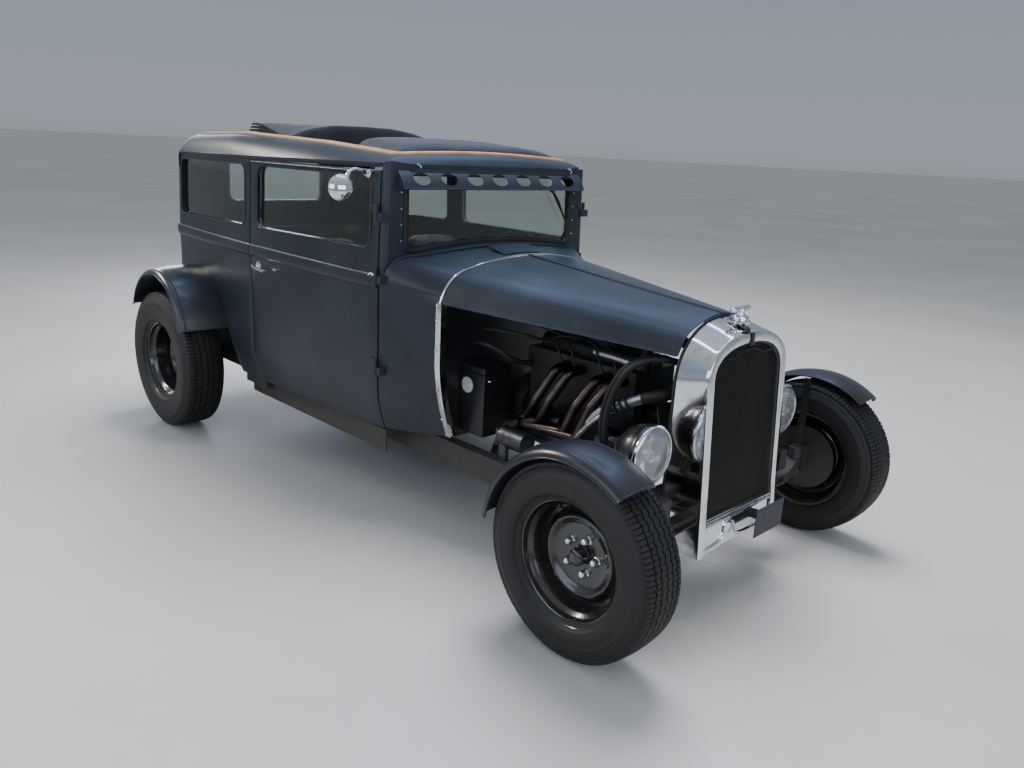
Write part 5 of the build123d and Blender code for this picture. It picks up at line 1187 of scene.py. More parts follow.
hood_front = hood_half(991, (-80, 982), (-156, 958), (-216, 922), (-244, 868))
hood_rear = hood_half(1076, (-170, 1068), (-332, 1040), (-440, 986), (-480, 912))


def hood_at(index, y, sink):
    """Hood skin: straight lines between its sections, a parabola's crown between them and a rolled edge."""
    t = ((y - HOOD_Y[0]) / (HOOD_Y[1] - HOOD_Y[0]))[..., None]
    spot, inward = between(hood_front, hood_rear, index, t)
    crown = 4 * HOOD_CROWN * t[..., 0] * (1 - t[..., 0]) * np.sin(np.clip(index / 40, 0, 1) * np.pi)**0.8
    rolled = 1.2 * np.clip(index - (len(hood_front) - 4), 0, None)
    spot = spot - inward * (crown + rolled - sink)[..., None]
    return np.stack([spot[..., 0], y, spot[..., 1]], -1)


hood_index = np.unique(np.r_[np.arange(len(hood_front)), len(hood_front) - np.array([1.3, 1.6, 2.5, 3.5])])
hood_skin = panel(hood_index, lines(*HOOD_Y, 26, rounding=1.5), [], hood_at, 3, rounding=0.0001)
edge_y = np.linspace(HOOD_Y[0] + 3, HOOD_Y[1] - 3, 60)
edge_bead = sweep(hood_at(np.full(60, len(hood_front) - 1.0), edge_y, np.full(60, 1.0)), circle(3.2, 8))
make_piece("hood_skin_right", [hood_skin, edge_bead], "hood_right", body_paint, ["hood_right"])
make_piece("hood_skin_left", flipped([hood_skin, edge_bead]), "hood_left", body_paint, ["hood_left"])


# Doors with their hinge barrels
HINGE_AT, HINGE_Z, HINGE_HALF = (-612, 1249), (624, 996, 1240), 32
barrels = []
for z in HINGE_Z:
    barrels.append(lathe([(0.2, 4.05), (0.2, 8), (30, 8), (31.5, 6.5), (31.5, 4.05)], (*HINGE_AT, z), outward=(0, 0, 1),
                         sides=24))
    leaf_run = np.linspace(run_at(HINGE_AT[1] + 9), run_at(HINGE_AT[1] + 52), 8)
    leaf_v = np.linspace(z + 1, z + HINGE_HALF - 2, 6)
    u, v = np.meshgrid(leaf_run, leaf_v, indexing="ij")
    top = left_wall(u, v, np.full(u.shape, -4.0)) * MIRROR
    barrels.append(solid_sheet(top, top + (5, 0, 0)))
    for k in (16, 38):
        spot = left_wall(np.array([run_at(HINGE_AT[1] + k)]), np.array([z + HINGE_HALF / 2]), np.array([-4.0]))[0]
        barrels.append(lathe([(0, 0.01), (0, 4.2), (1.4, 3.6), (2.2, 0.01)], spot * MIRROR, sides=12))
for side, turn_over in (("right", lambda s: s), ("left", flipped)):
    skin = flipped(door_shapes) if side == "right" else door_shapes
    make_piece(f"door_skin_{side}", [*skin, *turn_over(barrels)], f"door_{side}", body_paint,
               [f"door_{side}"], sharp=32)
strip_y = np.linspace(run_at(1300), run_at(2192), 40)
over_door = sweep(left_wall(strip_y, np.full(40, 1391.0), np.full(40, -1.0)),
                  [(-5, -3), (-5, 2), (-2, 5), (3, 5), (5, 1), (5, -3)], guide=(1, 0, 0))
for side, turn_over in (("left", lambda s: s), ("right", flipped)):
    make_piece(f"door_drip_strip_{side}", turn_over([over_door]), f"door_{side}", body_paint, sharp=50)


# Radiator shell: a profile carried along an arch that narrows to the front
SHELL_LOW = 192
APRON_HALF, APRON_TOP, APRON_LIFT = 218, 310, 12


def arch(half, spring, top, power, count=97, low=SHELL_LOW):
    """Upright sides under a superellipse, from the right foot round to the left, in (x, z)."""
    angle = np.linspace(np.pi, 0, count)
    curve = np.stack([half * np.sign(np.cos(angle)) * np.abs(np.cos(angle))**(2 / power),
                      spring + (top - spring) * np.sin(angle)**(2 / power)], -1)
    curve[0, 1] = curve[-1, 1] = spring
    side = np.linspace(low, spring, 25)[:-1]
    return np.concatenate([np.c_[np.full(24, -half), side], curve, np.c_[np.full(24, half), side[::-1]]])


shell_front = arch(255, 800, 946, 2.3)
shell_rear = arch(257, 765, 981, 2.2)
shell_normal = section_normals(shell_front)


def shell_face_y(z):
    """The face leans back towards its top."""
    return -93 + 0.062 * (z - 640)


def shell_ring(inset, depth):
    """The arch drawn in by an inset, at a depth behind the face."""
    t = (np.clip(depth / 130, 0, 1)**0.85)
    spot = shell_front * (1 - t) + shell_rear * t - shell_normal * inset
    face = shell_face_y(shell_front[:, 1])
    y = face + depth * (44 - face) / 134
    return np.stack([spot[:, 0], y, spot[:, 1]], -1)


corner = np.radians(np.linspace(0, 90, 7))
shell_profile = [(0, 134), (0.0, 110), (0, 80), (0, 45), (0, 20)]
shell_profile += [(7 - 7 * math.cos(a), 7 - 7 * math.sin(a)) for a in corner]
shell_profile += [(16, -1.2), (25, -1.2), (33, 0)]
shell_profile += [(33 + 5 * math.sin(a), 5 - 5 * math.cos(a)) for a in corner[1:]]
shell_profile += [(38, 24), (35, 24), (35, 8), (30, 4), (8, 4), (4, 9), (4, 134)]
shell_rows = np.stack([shell_ring(*p) for p in shell_profile], 1)
shell_skin = grid(capped(shell_rows), wrap_cols=True)


def apron_at(u, v, sink):
    """Apron between the shell's feet, its lower edge lifted in the middle by a parabola."""
    y = shell_face_y(v) + 9 + sink
    lift = APRON_LIFT * (1 - (np.abs(u) / 217)**2) * (1 - (v - SHELL_LOW) / (APRON_TOP - SHELL_LOW))
    return np.stack([u, y, v + lift], -1)


hole_turn = np.linspace(0, 2 * np.pi, 24, endpoint=False)
crank_hole = np.c_[-60 + 20 * np.cos(hole_turn), 248 + 20 * np.sin(hole_turn)]
apron = panel(np.linspace(-APRON_HALF, APRON_HALF, 110), np.linspace(SHELL_LOW, APRON_TOP, 34), [crank_hole],
              apron_at, 3, rounding=0.001)
ogee = curve_through([(-196, 212), (-150, 214), (-114, 222), (-96, 246), (-88, 272), (-60, 286), (-32, 272), (-24, 246),
                      (-6, 222), (30, 214), (80, 212), (196, 212)], 120)
ogee_bead = sweep(np.c_[ogee[:, 0], shell_face_y(ogee[:, 1]) + 8, ogee[:, 1]], circle(6.5, 10))
lip_x = np.linspace(-214, 214, 40)
lips = [sweep(np.c_[lip_x, np.full(40, shell_face_y(z) + 4), np.full(40, z)], circle(r, 8))
        for z, r in ((298, 4.5), (312, 3.2))]
tab = sweep(np.c_[np.zeros(9), shell_face_y(930) - 2.5 + np.zeros(9), np.linspace(902, 946, 9)],
            [(-11, -2), (-9, 2), (0, 4), (9, 2), (11, -2), (0, -5)], guide=(0, -1, 0))
tab_x = np.linspace(-19, 19, 9)
tab_base = sweep(np.c_[tab_x, shell_face_y(900) + 2 + np.zeros(9), 905 - 0.012 * tab_x**2],
                 [(-3, -2), (-3, 2), (0, 4), (3, 2), (3, -2)], guide=(0, -1, 0))
neck = lathe([(0, 40), (4, 41), (8, 38), (10, 31), (13, 30), (16, 34), (20, 33), (23, 25), (27, 18), (36, 15), (42, 17),
              (48, 15), (53, 8), (54, 0.01)], (0, -16, 970), outward=(0, 0, 1), sides=48)
wings = []
for s in (-1, 1):
    wings.append(lathe([(0, 0.01), (0, 10), (12, 11), (24, 9), (34, 8), (42, 10), (50, 10.5), (56, 7), (58, 0.01)],
                       (0, -16, 1015), outward=(s, 0, 0.05), sides=24))
fitting = lathe([(0, 0.01), (0, 15), (3, 15), (6, 10), (9, 9), (10, 0.01)], (-30, -66, 955), outward=(0, -0.7, 0.7),
                sides=24)
make_piece("shell_skin", [shell_skin, apron, ogee_bead, *lips, neck, *wings], "chassis",
           chrome, ["radiator_shell"], sharp=28)
make_piece("shell_badge_base", [fitting, tab, tab_base], "chassis", satin_black)
# Lacing: a flat rubber strip round the shell's rear edge, under the hood
rear_normal = section_normals(shell_rear)
lacing_rows = [np.insert(shell_rear + rear_normal * off, 1, y, axis=1)
               for off, y in ((-4, 44.4), (7, 44.4), (7, 48.4), (-4, 48.4))]
make_piece("hood_lacing", [grid(capped(np.stack(lacing_rows, 1)), wrap_cols=True)], "chassis", rubber)

# Grille: a plain weave of wires, each rising and sinking over its neighbours, in a thin frame
WIRE_STEP, WIRE_R = 7.6, 1.15
net_half, net_low, net_spring = 216, 304, 794
net_top = arch(net_half, net_spring, 908, 2.3, low=net_low)
net_arc = net_top[24:-24]


def net_height(x):
    """Height of the net's arch over a place across."""
    return np.interp(x, net_arc[:, 0], net_arc[:, 1])


def net_reach(z):
    """Half-width of the net at a height."""
    half = net_arc[:len(net_arc) // 2 + 1]
    return np.where(z < net_spring, net_half, np.interp(z, half[:, 1], -half[:, 0]))


def wires(count_along, count_across, upright):
    """All the wires of one direction at once: a grid of zigzag paths with a three-sided profile."""
    lanes = np.arange(count_across)
    t = np.linspace(0, 1, count_along)[:, None]
    if upright:
        x = -net_half + 6 + WIRE_STEP * lanes
        x = x[x < net_half - 5]
        z = net_low + (net_height(x) - net_low) * t
        along_index = np.round((z - net_low) / WIRE_STEP)
        x = np.broadcast_to(x, z.shape)
        turn_axis = (1, 0, 0)
    else:
        z = net_low + WIRE_STEP * (lanes + 0.5)
        z = z[z < 902]
        x = (2 * t - 1) * net_reach(z)
        along_index = np.round((x + net_half) / WIRE_STEP)
        z = np.broadcast_to(z, x.shape)
        turn_axis = (0, 0, 1)
    lane = np.broadcast_to(np.arange(x.shape[1]), x.shape)
    over = WIRE_R * np.where((along_index + lane + upright) % 2 > 0.5, 1.0, -1.0)
    y = shell_face_y(z) + 17 + over
    path = np.stack([x, y, z], -1)
    side = np.array(turn_axis, float)
    profile = WIRE_R * np.array([(np.cos(a), np.sin(a)) for a in (np.pi / 2, np.pi * 7 / 6, np.pi * 11 / 6)])
    rings = path[:, :, None] + profile[:, 0, None] * side + profile[:, 1, None] * np.array([0, -1.0, 0])
    return [grid(rings[:, k], wrap_cols=True) for k in range(path.shape[1])]


net = wires(81, 60, True) + wires(58, 80, False)
make_piece("grille_net", net, "chassis", mesh_black, ["grille"], sharp=80)
frame_path = np.c_[net_top[:, 0], shell_face_y(net_top[:, 1]) + 16, net_top[:, 1]]
net_frame = sweep(frame_path, [(-7, -4), (-7, 3), (-4, 5), (4, 5), (6, 3), (6, -4)], guide=(0, -1, 0))
foot = sweep([(x, shell_face_y(302) + 16, 302) for x in (-net_half, net_half)], [(-6, -4), (-6, 4), (6, 4), (6, -4)],
             guide=(0, -1, 0))
make_piece("grille_frame", [net_frame, foot], "chassis", mesh_black, sharp=50)
wave = curve_through([(-206, 822), (-176, 856), (-128, 868), (-96, 866), (-62, 878), (-30, 886), (0, 885), (30, 886),
                      (62, 878), (96, 866), (128, 868), (176, 856), (206, 822)], 90)
top_trim = sweep(np.c_[wave[:, 0], shell_face_y(wave[:, 1]) + 11, wave[:, 1]], circle(2.6, 8))
make_piece("grille_top_trim", [top_trim], "chassis", mesh_black)

# Headlamps: bucket, rim, fluted lens and reflector
LAMP_AT = (-424, -10, 573)
LAMP_R = 102
bucket = [(-5, LAMP_R - 4), (-6, LAMP_R), (-12, LAMP_R + 1.5), (-22, LAMP_R + 1), (-25, LAMP_R - 1), (-44, LAMP_R - 3),
          (-66, LAMP_R - 10), (-92, LAMP_R - 27), (-116, LAMP_R - 52), (-134, 24), (-140, 10), (-141, 0.01)]
rim_ring = [(-7, LAMP_R - 5), (-7, LAMP_R + 1), (-4, LAMP_R + 2.2), (0, LAMP_R + 1.6), (4, LAMP_R - 1), (6, LAMP_R - 5),
            (5, LAMP_R - 8), (1, LAMP_R - 9), (-3, LAMP_R - 9)]
lens_ring = [(0, LAMP_R - 9.5), (7, LAMP_R - 20), (12, LAMP_R - 40), (16, LAMP_R - 62), (18, 16), (18.4, 0.01)]
lens_back = [(15.4, 0.01), (15, 16), (13, LAMP_R - 62), (9, LAMP_R - 40), (4, LAMP_R - 20), (-2, LAMP_R - 10)]
mirror_ring = [(-3, LAMP_R - 11), (-20, LAMP_R - 20), (-50, LAMP_R - 46), (-70, 20), (-74, 0.01)]
bulb = [(-74, 14), (-40, 13), (-36, 9), (-24, 9), (-16, 6), (-13, 0.01)]
ahead_way = (0, -1, 0)
# Black bucket enamel, worn brown in spots
bucket_black = enamel("worn_bucket_enamel", "#0e0e10", "#241c19", (0.18, 0.4), patch_mm=38, dust_share=0.3, coat=0.2)
bucket_shapes = [lathe(bucket, LAMP_AT, ahead_way, 56),
                 tube([(-392, 62, 420), (-396, 62, 455), (-416, 62, 490), (-424, 62, 515)], 11, 20, 12)]
make_piece("lamp_buckets", bucket_shapes + flipped(bucket_shapes), "chassis", bucket_black,
           ["headlamps"])
rim_shapes = [lathe(rim_ring, LAMP_AT, ahead_way, 64)]
make_piece("lamp_rims", rim_shapes + flipped(rim_shapes), "chassis", chrome, closed=False)
lens_shapes = [lathe(lens_ring + lens_back, LAMP_AT, ahead_way, 64)]
make_piece("lamp_lenses", lens_shapes + flipped(lens_shapes), "chassis", lamp_glass,
           ["headlamp_lenses"])
inner_shapes = [lathe(mirror_ring, LAMP_AT, ahead_way, 48), lathe(bulb, LAMP_AT, ahead_way, 20)]
make_piece("lamp_reflectors", inner_shapes + flipped(inner_shapes), "chassis", silvered, closed=False)

# Tyres: walls with moulded rings, and a tread cut by zigzag grooves
GROOVE, SLIT = 7, 4.0  # depths


def tyre(hub, outward, radius, width, rim_w, periods=60):
    """Columns (across, radius, zigzag share, slit share) of one half, mirrored over the crown. Every column
    slides along a zigzag of the angle by its share, grooves sink, and slits cut the outer ribs."""
    half, tread, bead = width / 2, 0.38 * width, rim_w / 2 - 6
    columns = [(x + off, radius - 0.2 - 5 * ((x + off) / tread)**2 - sink, 3.2, 0.0 if sink else slit)
               for x, slit in ((0, 0.2), (0.36 * tread, 0.4), (0.7 * tread, 0.8))
               for off, sink in ((-2.8, 0), (-1.7, GROOVE), (1.7, GROOVE), (2.8, 0))][2:]
    columns += [(tread - 2, radius - 5, 1.6, 1), (tread + 3, radius - 8, 0.6, 1), (tread + 7, radius - 14, 0, 1)]
    wall = [(-17, -22), (-9.4, -32), (-9, -34), (-9.2, -36), (-6.6, -40), (-4, -50), (-3.6, -51), (-2.4, -53),
            (-2.2, -57), (-2.9, -59), (-1.8, -72), (-1.9, -84), (-4, -96)]
    columns += [(half + a, radius + r, 0, 0) for a, r in wall]
    columns += [(half - 9, 216, 0, 0), (half - 9.6, 213.5, 0, 0), (half - 12, 212, 0, 0), (bead + 5, 203, 0, 0),
                (bead, 190.5, 0, 0)]
    right = np.array(columns)
    across, far, zigzag, slit = np.concatenate([right[::-1] * (-1, 1, 1, 1), right]).T
    phase = np.array([0, 0.07, 0.14, 0.5, 0.57, 0.64])
    angle = 2 * np.pi * (np.arange(periods)[:, None] + phase).ravel() / periods
    wave = np.tile(np.interp(phase, (0, 0.07, 0.57, 1), (0.86, 1, -1, 0.86)), periods)
    cut = np.tile([0, SLIT, 0, 0, SLIT, 0], periods)
    x = across + zigzag * wave[:, None]
    r = far - slit * cut[:, None]
    points = np.stack([hub[0] + outward * x, hub[1] - r * np.cos(angle)[:, None],
                       hub[2] + r * np.sin(angle)[:, None]], -1)
    run = np.r_[0, np.cumsum(np.hypot(np.diff(across), np.diff(far))), 0]
    turn = np.append(angle, 2 * np.pi) * radius / 1000
    uv = np.stack(np.meshgrid(turn, run / 1000, indexing="ij"), -1)
    return grid(points, wrap_rows=True, wrap_cols=True, uv=uv)


def wheel_shapes(hub, outward, rim_w, disc, nut_turn):
    """Drop-centre rim, pressed disc with a raised ring and a dished middle, drum and cap, and the nuts."""
    half = rim_w / 2
    way = (outward, 0, 0)
    arc = np.radians(np.linspace(0, 180, 7))
    lip = [(half - 3.2 + 3.2 * math.cos(a), 203.5 + 3.2 * math.sin(a)) for a in arc]
    barrel = [(half - 10, 190), (half - 30, 186), (half - 42, 172), (-half + 42, 172), (-half + 30, 186),
              (-half + 10, 190), (-half + 4, 198), (-half + 3, 206), (-half, 206), (-half + 1, 196), (-half + 7, 187),
              (-half + 29, 182), (-half + 43, 168), (disc - 30, 168)]
    ring = curve_through([(disc - 29, 160), (disc - 27, 152), (disc - 16, 140), (disc - 3, 132), (disc + 1, 125),
                          (disc - 3, 117), (disc - 12, 104), (disc - 16, 90), (disc - 17, 76)], 34)
    back = [(disc - 22, 30), (disc - 22, 76), (disc - 21, 90), (disc - 16, 106), (disc - 8, 117), (disc - 4, 125),
            (disc - 8, 130), (disc - 21, 138), (disc - 31, 150), (disc - 34, 163)]
    front = [(disc - 17, 30)]
    rim = [(half - 44, 168), (half - 39, 169.5), (half - 31, 181), (half - 27, 183), (half - 12, 186.5),
           (half - 8, 192), (half - 6, 199)]
    loop = lip + barrel + back[::-1] + front + ring[::-1].tolist() + rim
    drum = [(disc - 26, 0.01), (disc - 26, 120), (disc - 29, 132), (disc - 54, 134), (disc - 54, 0.01)]
    cap = [(disc - 22, 33), (disc - 12, 33), (disc - 9, 30), (disc + 10, 28), (disc + 17, 25), (disc + 21, 18),
           (disc + 22.5, 0.01)]
    shapes = [lathe(loop + loop[:1], hub, way, 96), lathe(drum, hub, way, 64), lathe(cap, hub, way, 40)]
    for k in range(4):
        a = math.radians(45 + 90 * k)
        spot = np.array(hub) + (0, 150 * math.cos(a), 150 * math.sin(a))
        shapes.append(lathe([(disc - 26.6, 0.01), (disc - 26.6, 9), (disc - 25.4, 10), (disc - 25, 12)], spot, way, 20))
    nuts = []
    for k in range(5):
        a = math.radians(90 + 72 * k + nut_turn)
        spot = np.array(hub) + (0, 58 * math.cos(a), 58 * math.sin(a))
        nuts.append(lathe([(disc - 17.4, 0.01), (disc - 17, 17), (disc - 14, 16.5), (disc - 11, 13.5), (disc - 2, 13),
                           (disc + 4, 11), (disc + 8, 7), (disc + 9.5, 0.01)], spot, way, 24))
    return shapes, nuts


for end, wheel_y, track, tyre_r, tyre_w, rim_w, disc, rubber_kind in (
        ("front", 0, FRONT_TRACK, FRONT_TYRE_R, FRONT_TYRE_W, FRONT_RIM_W, 12, front_rubber),
        ("rear", WHEELBASE, REAR_TRACK, REAR_TYRE_R, REAR_TYRE_W, REAR_RIM_W, -12, rear_rubber)):
    for side, s in (("right", -1), ("left", 1)):
        hub = (s * track / 2, wheel_y, tyre_r)
        body = f"wheel_{end}_{side}"
        make_piece(f"tyre_skin_{end}_{side}", [tyre(hub, s, tyre_r, tyre_w, rim_w)], body, rubber_kind,
                   [f"tyre_{end}_{side}"], sharp=30)
        steel, nuts = wheel_shapes(hub, s, rim_w, disc, 18 if end == "front" else 0)
        make_piece(f"wheel_skin_{end}_{side}", steel, body, wheel_black, [f"wheel_{end}_{side}"],
                   sharp=40)
        make_piece(f"wheel_nuts_{end}_{side}", nuts, body, chrome)


# Fenders: rounded sheet turned about the wheel, with rolled edges all round
SHEET, HEM = 4, 3.4  # thickness, and radius of the rolled edge


def fender(centre, outward, profile, sheet, start, turn, hem, beads=()):
    """A sheet whose profile (across, radius) goes round the wheel, with hems along its four edges and
    thin beads at the places given."""
    profile = np.asarray(profile, float)
    normal = section_normals(profile)
    under = profile + normal * sheet
    shapes = [lathe(np.concatenate([profile, under[::-1], profile[:1]]), centre, outward, 90, start, turn)]
    rims = [(profile[k] + under[k]) / 2 for k in (0, -1)] + [np.asarray(b, float) for b in beads]
    for k, (along, far) in enumerate(rims):
        angle = np.linspace(0, 2 * np.pi, 11)
        size = hem if k < 2 else 2.2
        loop = np.c_[along + size * np.cos(angle), far + size * np.sin(angle)]
        shapes.append(lathe(loop, centre, outward, 90, start, turn))
    for at in (start, start + turn):
        row = lathe(profile + normal * sheet / 2, centre, outward, 1, at, 0.0001)[0][:len(profile)]
        shapes.append(sweep(row, circle(hem, 8)))
    return shapes


front_profile = np.concatenate([bend((-56, 343), (4, 357), (74, 351), 22), bend((74, 351), (95, 342), (102, 326), 10),
                                [(102, 326)]])
for side, s in (("right", -1), ("left", 1)):
    shapes = fender((-FRONT_TRACK / 2, 0, FRONT_TYRE_R), (-1, 0, 0), front_profile, SHEET, 54, 119, HEM)
    make_piece(f"front_fender_skin_{side}", shapes if s < 0 else flipped(shapes), f"knuckle_{side}", satin_black,
               [f"front_fender_{side}"], sharp=40)
rear_profile = np.concatenate([bend((-158, 306), (-30, 311), (86, 299), 30),
                               bend((86, 299), (109, 292), (116, 280), 12), [(116, 280)]])
rear_shapes = fender((-REAR_TRACK / 2, 2793, 529), (-1, 0, 0), rear_profile, SHEET, 7, 156, HEM,
                     [(-8, 311), (92, 298.5)])
make_piece("rear_fender_skins", rear_shapes + flipped(rear_shapes), "chassis", fender_paint,
           ["rear_fenders"], sharp=40)

# Sun visor: a sloping strip with seven holes, a rolled front edge and a rounded flap at each end
VISOR_HALF, VISOR_TOP, VISOR_LOW = 529, (1223.4, 1403.6), (1179.5, 1336)
VISOR_BOW = 5
visor_run = math.dist(VISOR_TOP, VISOR_LOW)


def visor_at(u, v, sink):
    """u across, v down the slope, bowed outward in a parabola; sink goes in under the skin."""
    t = v / visor_run
    down = (np.array(VISOR_LOW) - VISOR_TOP) / visor_run
    out = np.array([down[1], -down[0]])
    bow = 4 * VISOR_BOW * t * (1 - t) - sink
    return np.stack([u, VISOR_TOP[0] + down[0] * v + out[0] * bow, VISOR_TOP[1] + down[1] * v + out[1] * bow], -1)


ring_turn = np.linspace(0, 2 * np.pi, 28, endpoint=False)
visor_holes = [np.c_[142 * k + 43 * np.cos(ring_turn), 0.48 * visor_run + 28 * np.sin(ring_turn)] for k in range(-3, 4)]
visor_skin = panel(np.linspace(-VISOR_HALF, VISOR_HALF, 177), np.linspace(0, visor_run, 15), visor_holes, visor_at, 2.6,
                   rounding=0.001)
visor_edge = sweep(visor_at(np.linspace(-VISOR_HALF, VISOR_HALF, 30), np.full(30, visor_run), np.full(30, 1.3)),
                   circle(3.2, 8))
across_u, down_v = np.meshgrid(np.linspace(0, 1, 9), np.linspace(0, 1, 9), indexing="ij")
flap_y = VISOR_TOP[0] + (VISOR_LOW[0] - VISOR_TOP[0]) * down_v * (1 - across_u)
flap_z = VISOR_TOP[1] + (VISOR_LOW[1] - VISOR_TOP[1]) * down_v - 6 * np.sin(np.pi * across_u) * down_v
flap_side = np.stack([np.full_like(flap_y, -VISOR_HALF), flap_y, flap_z], -1)
visor_flap = solid_sheet(flap_side, flap_side + (2.4, 0, 0))
make_piece("visor_skin", [visor_skin, visor_edge, visor_flap, *flipped([visor_flap])], "chassis", body_paint,
           ["visor"], sharp=50)

# Engine bay: hoses, silver pipes, plug leads, the case on the firewall and its disc
hose_paths = [[(-262, 300, 470), (-292, 292, 530), (-302, 286, 600), (-300, 268, 690), (-284, 228, 780),
               (-254, 176, 826), (-214, 120, 838), (-170, 84, 826)],
              [(-250, 330, 480), (-276, 322, 540), (-286, 314, 610), (-284, 292, 700), (-268, 250, 784),
               (-238, 196, 826), (-196, 150, 836), (-150, 120, 820)],
              [(-300, 986, 740), (-296, 930, 742), (-270, 880, 724), (-230, 850, 690), (-170, 838, 668),
               (-120, 830, 664)],
              [(-262, 986, 792), (-258, 900, 800), (-220, 800, 796), (-150, 740, 776), (-104, 700, 764)]]
hoses = [tube(p, r, 70, 16) for p, r in zip(hose_paths, (12, 12, 11, 7))]
leads = []
for k, port in enumerate((352, 424, 560, 632)):
    leads.append(tube([(-128, port + 12, 700), (-150, port + 14, 716), (-158, port + 30, 760), (-140, port + 60, 800),
                       (-110, 560 + 9 * k, 812), (-80, 600 + 9 * k, 806)], 4.2, 46, 10))
    leads.append(lathe([(0, 0.01), (0, 8), (16, 7), (30, 6), (32, 0.01)], (-108, port + 12, 700), (-1, 0, 0.25), 16))
for x, z in ((-180, 870), (-150, 884), (-120, 862)):
    leads.append(tube([(x, 990, z), (x + 8, 900, z - 12), (x + 24, 780, z - 40), (x + 40, 660, z - 58)], 3.2, 40, 8))
make_piece("bay_hoses", hoses + leads, "chassis", rubber)
silver_paths = [([(-252, 486, 452), (-262, 430, 515), (-262, 372, 580), (-254, 322, 622), (-232, 286, 640)], 14),
                ([(-270, 480, 440), (-284, 420, 500), (-284, 366, 560), (-274, 320, 600), (-250, 290, 620)], 9),
                ([(-258, 306, 632), (-262, 262, 650), (-258, 214, 674), (-246, 176, 692)], 20),
                ([(-226, 420, 806), (-230, 350, 806), (-230, 280, 802), (-224, 214, 792)], 12)]
silver = [tube(p, r, 50, 20) for p, r in silver_paths]
make_piece("silver_pipes", silver, "chassis", cast_alloy)
bands = []
for p, r in (silver_paths[2], silver_paths[3]):
    run = curve_through(p, 90)
    for at in ((8, 22, 36, 50) if r == 20 else (6, 80)):
        bands.append(sweep(run[at:at + 7], circle(r + 2.6, 20)))
bands.append(tube([(-246, 176, 692), (-238, 150, 702), (-214, 120, 712), (-180, 96, 716)], 22, 30, 18))
make_piece("pipe_clamps", bands, "chassis", rubber)
case_low, case_high = box_of("battery_box")
case = box_shape(case_low, case_high - (0, 0, 30))
case_lid = box_shape((case_low[0], case_low[1], case_high[2] - 29), case_high)
bevelled(make_piece("battery_case", [case, case_lid], "chassis", satin_black, ["battery_box"]), 4, 3)
disc_at = (case_low[0] + 0.2, case_high[1] - 42, 567)
disc_profile = [(0, 0.01), (0, 33), (2.6, 33), (3.4, 31), (3.0, 28), (2.6, 27), (2.6, 8), (4.4, 6), (4.6, 0.01)]
make_piece("case_disc", [lathe(disc_profile, disc_at, sides=48)], "chassis", disc_white)
case_catch = [tube([(case_low[0] + 20, case_low[1] - 2, 600), (case_low[0] + 26, case_low[1] - 9, 600),
                    (case_low[0] + 44, case_low[1] - 9, 602), (case_low[0] + 50, case_low[1] - 2, 602)], 2.4, 20, 8)]
make_piece("case_catch", case_catch, "chassis", chrome)

# Starter motor low beside the block, with its solenoid and flange
starter_at = (-212, 640, 420)
starter = [lathe([(-104, 0.01), (-104, 30), (-99, 36), (-84, 38), (-82, 43), (58, 43), (60, 38), (78, 34), (96, 22),
                  (97, 0.01)], starter_at, (0, 1, 0), 40),
           lathe([(-70, 0.01), (-70, 20), (-66, 24), (30, 24), (34, 20), (52, 9), (53, 0.01)], (-206, 650, 488),
                 (0, 1, 0), 32),
           box_shape((-262, 712, 372), (-110, 728, 500))]
bevelled(make_piece("starter_motor", starter, "chassis", aged_alloy), 2.5)

# Door fittings: a bright lever handle on each door, and a round mirror on an arm on the right one
handle_run, HANDLE_Z = run_at(2132), 920


def handle_shapes():
    """Plate, neck and a lever that points forward and droops, on the left wall."""
    wall = left_wall(np.array([handle_run]), np.array([HANDLE_Z]), np.zeros(1))[0]
    way = (0.998, 0.06, 0)
    lever = curve_through([(26, 8, 1), (29, -6, 0), (30, -40, -4), (27, -78, -9), (25, -96, -14)], 26)
    plate = [(-1, 24), (2, 24), (4, 21), (5, 14), (9, 11), (20, 8.5), (30, 9), (34, 6), (35, 0.01)]
    grip = [(-5, -7), (-2, -9), (2, -9), (5, -7), (6, 0), (5, 7), (2, 9), (-2, 9), (-5, 7), (-6, 0)]
    return [lathe(plate, wall, way, 36), sweep(wall + lever, grip)]


mirror_at = np.array([-756, 1266, 1333.0])
mirror_way = np.array([-0.28, -0.95, 0.12])
mirror_way /= np.linalg.norm(mirror_way)
mirror_back = lathe([(-9, 0.01), (-9, 46), (-7, 49), (-2, 50), (4, 47), (12, 39), (18, 27), (22, 13), (23, 0.01)],
                    mirror_at, mirror_way, 56)
mirror_arm = tube([(-626, 1292, 1386), (-650, 1286, 1396), (-690, 1278, 1400), (-722, 1268, 1388), (-736, 1258, 1362),
                   mirror_at + (14, -16, 8)], 8.4, 44, 14)
mirror_foot = lathe([(0, 0.01), (0, 17), (3, 16), (9, 9), (14, 7), (15, 0.01)], (-618, 1292, 1385), (-1, 0, 0), 24)
make_piece("door_fittings_skin_right", [*flipped(handle_shapes()), mirror_back, mirror_arm, mirror_foot],
           "door_right", chrome, ["door_fittings_right"])
make_piece("door_fittings_skin_left", handle_shapes(), "door_left", chrome, ["door_fittings_left"])

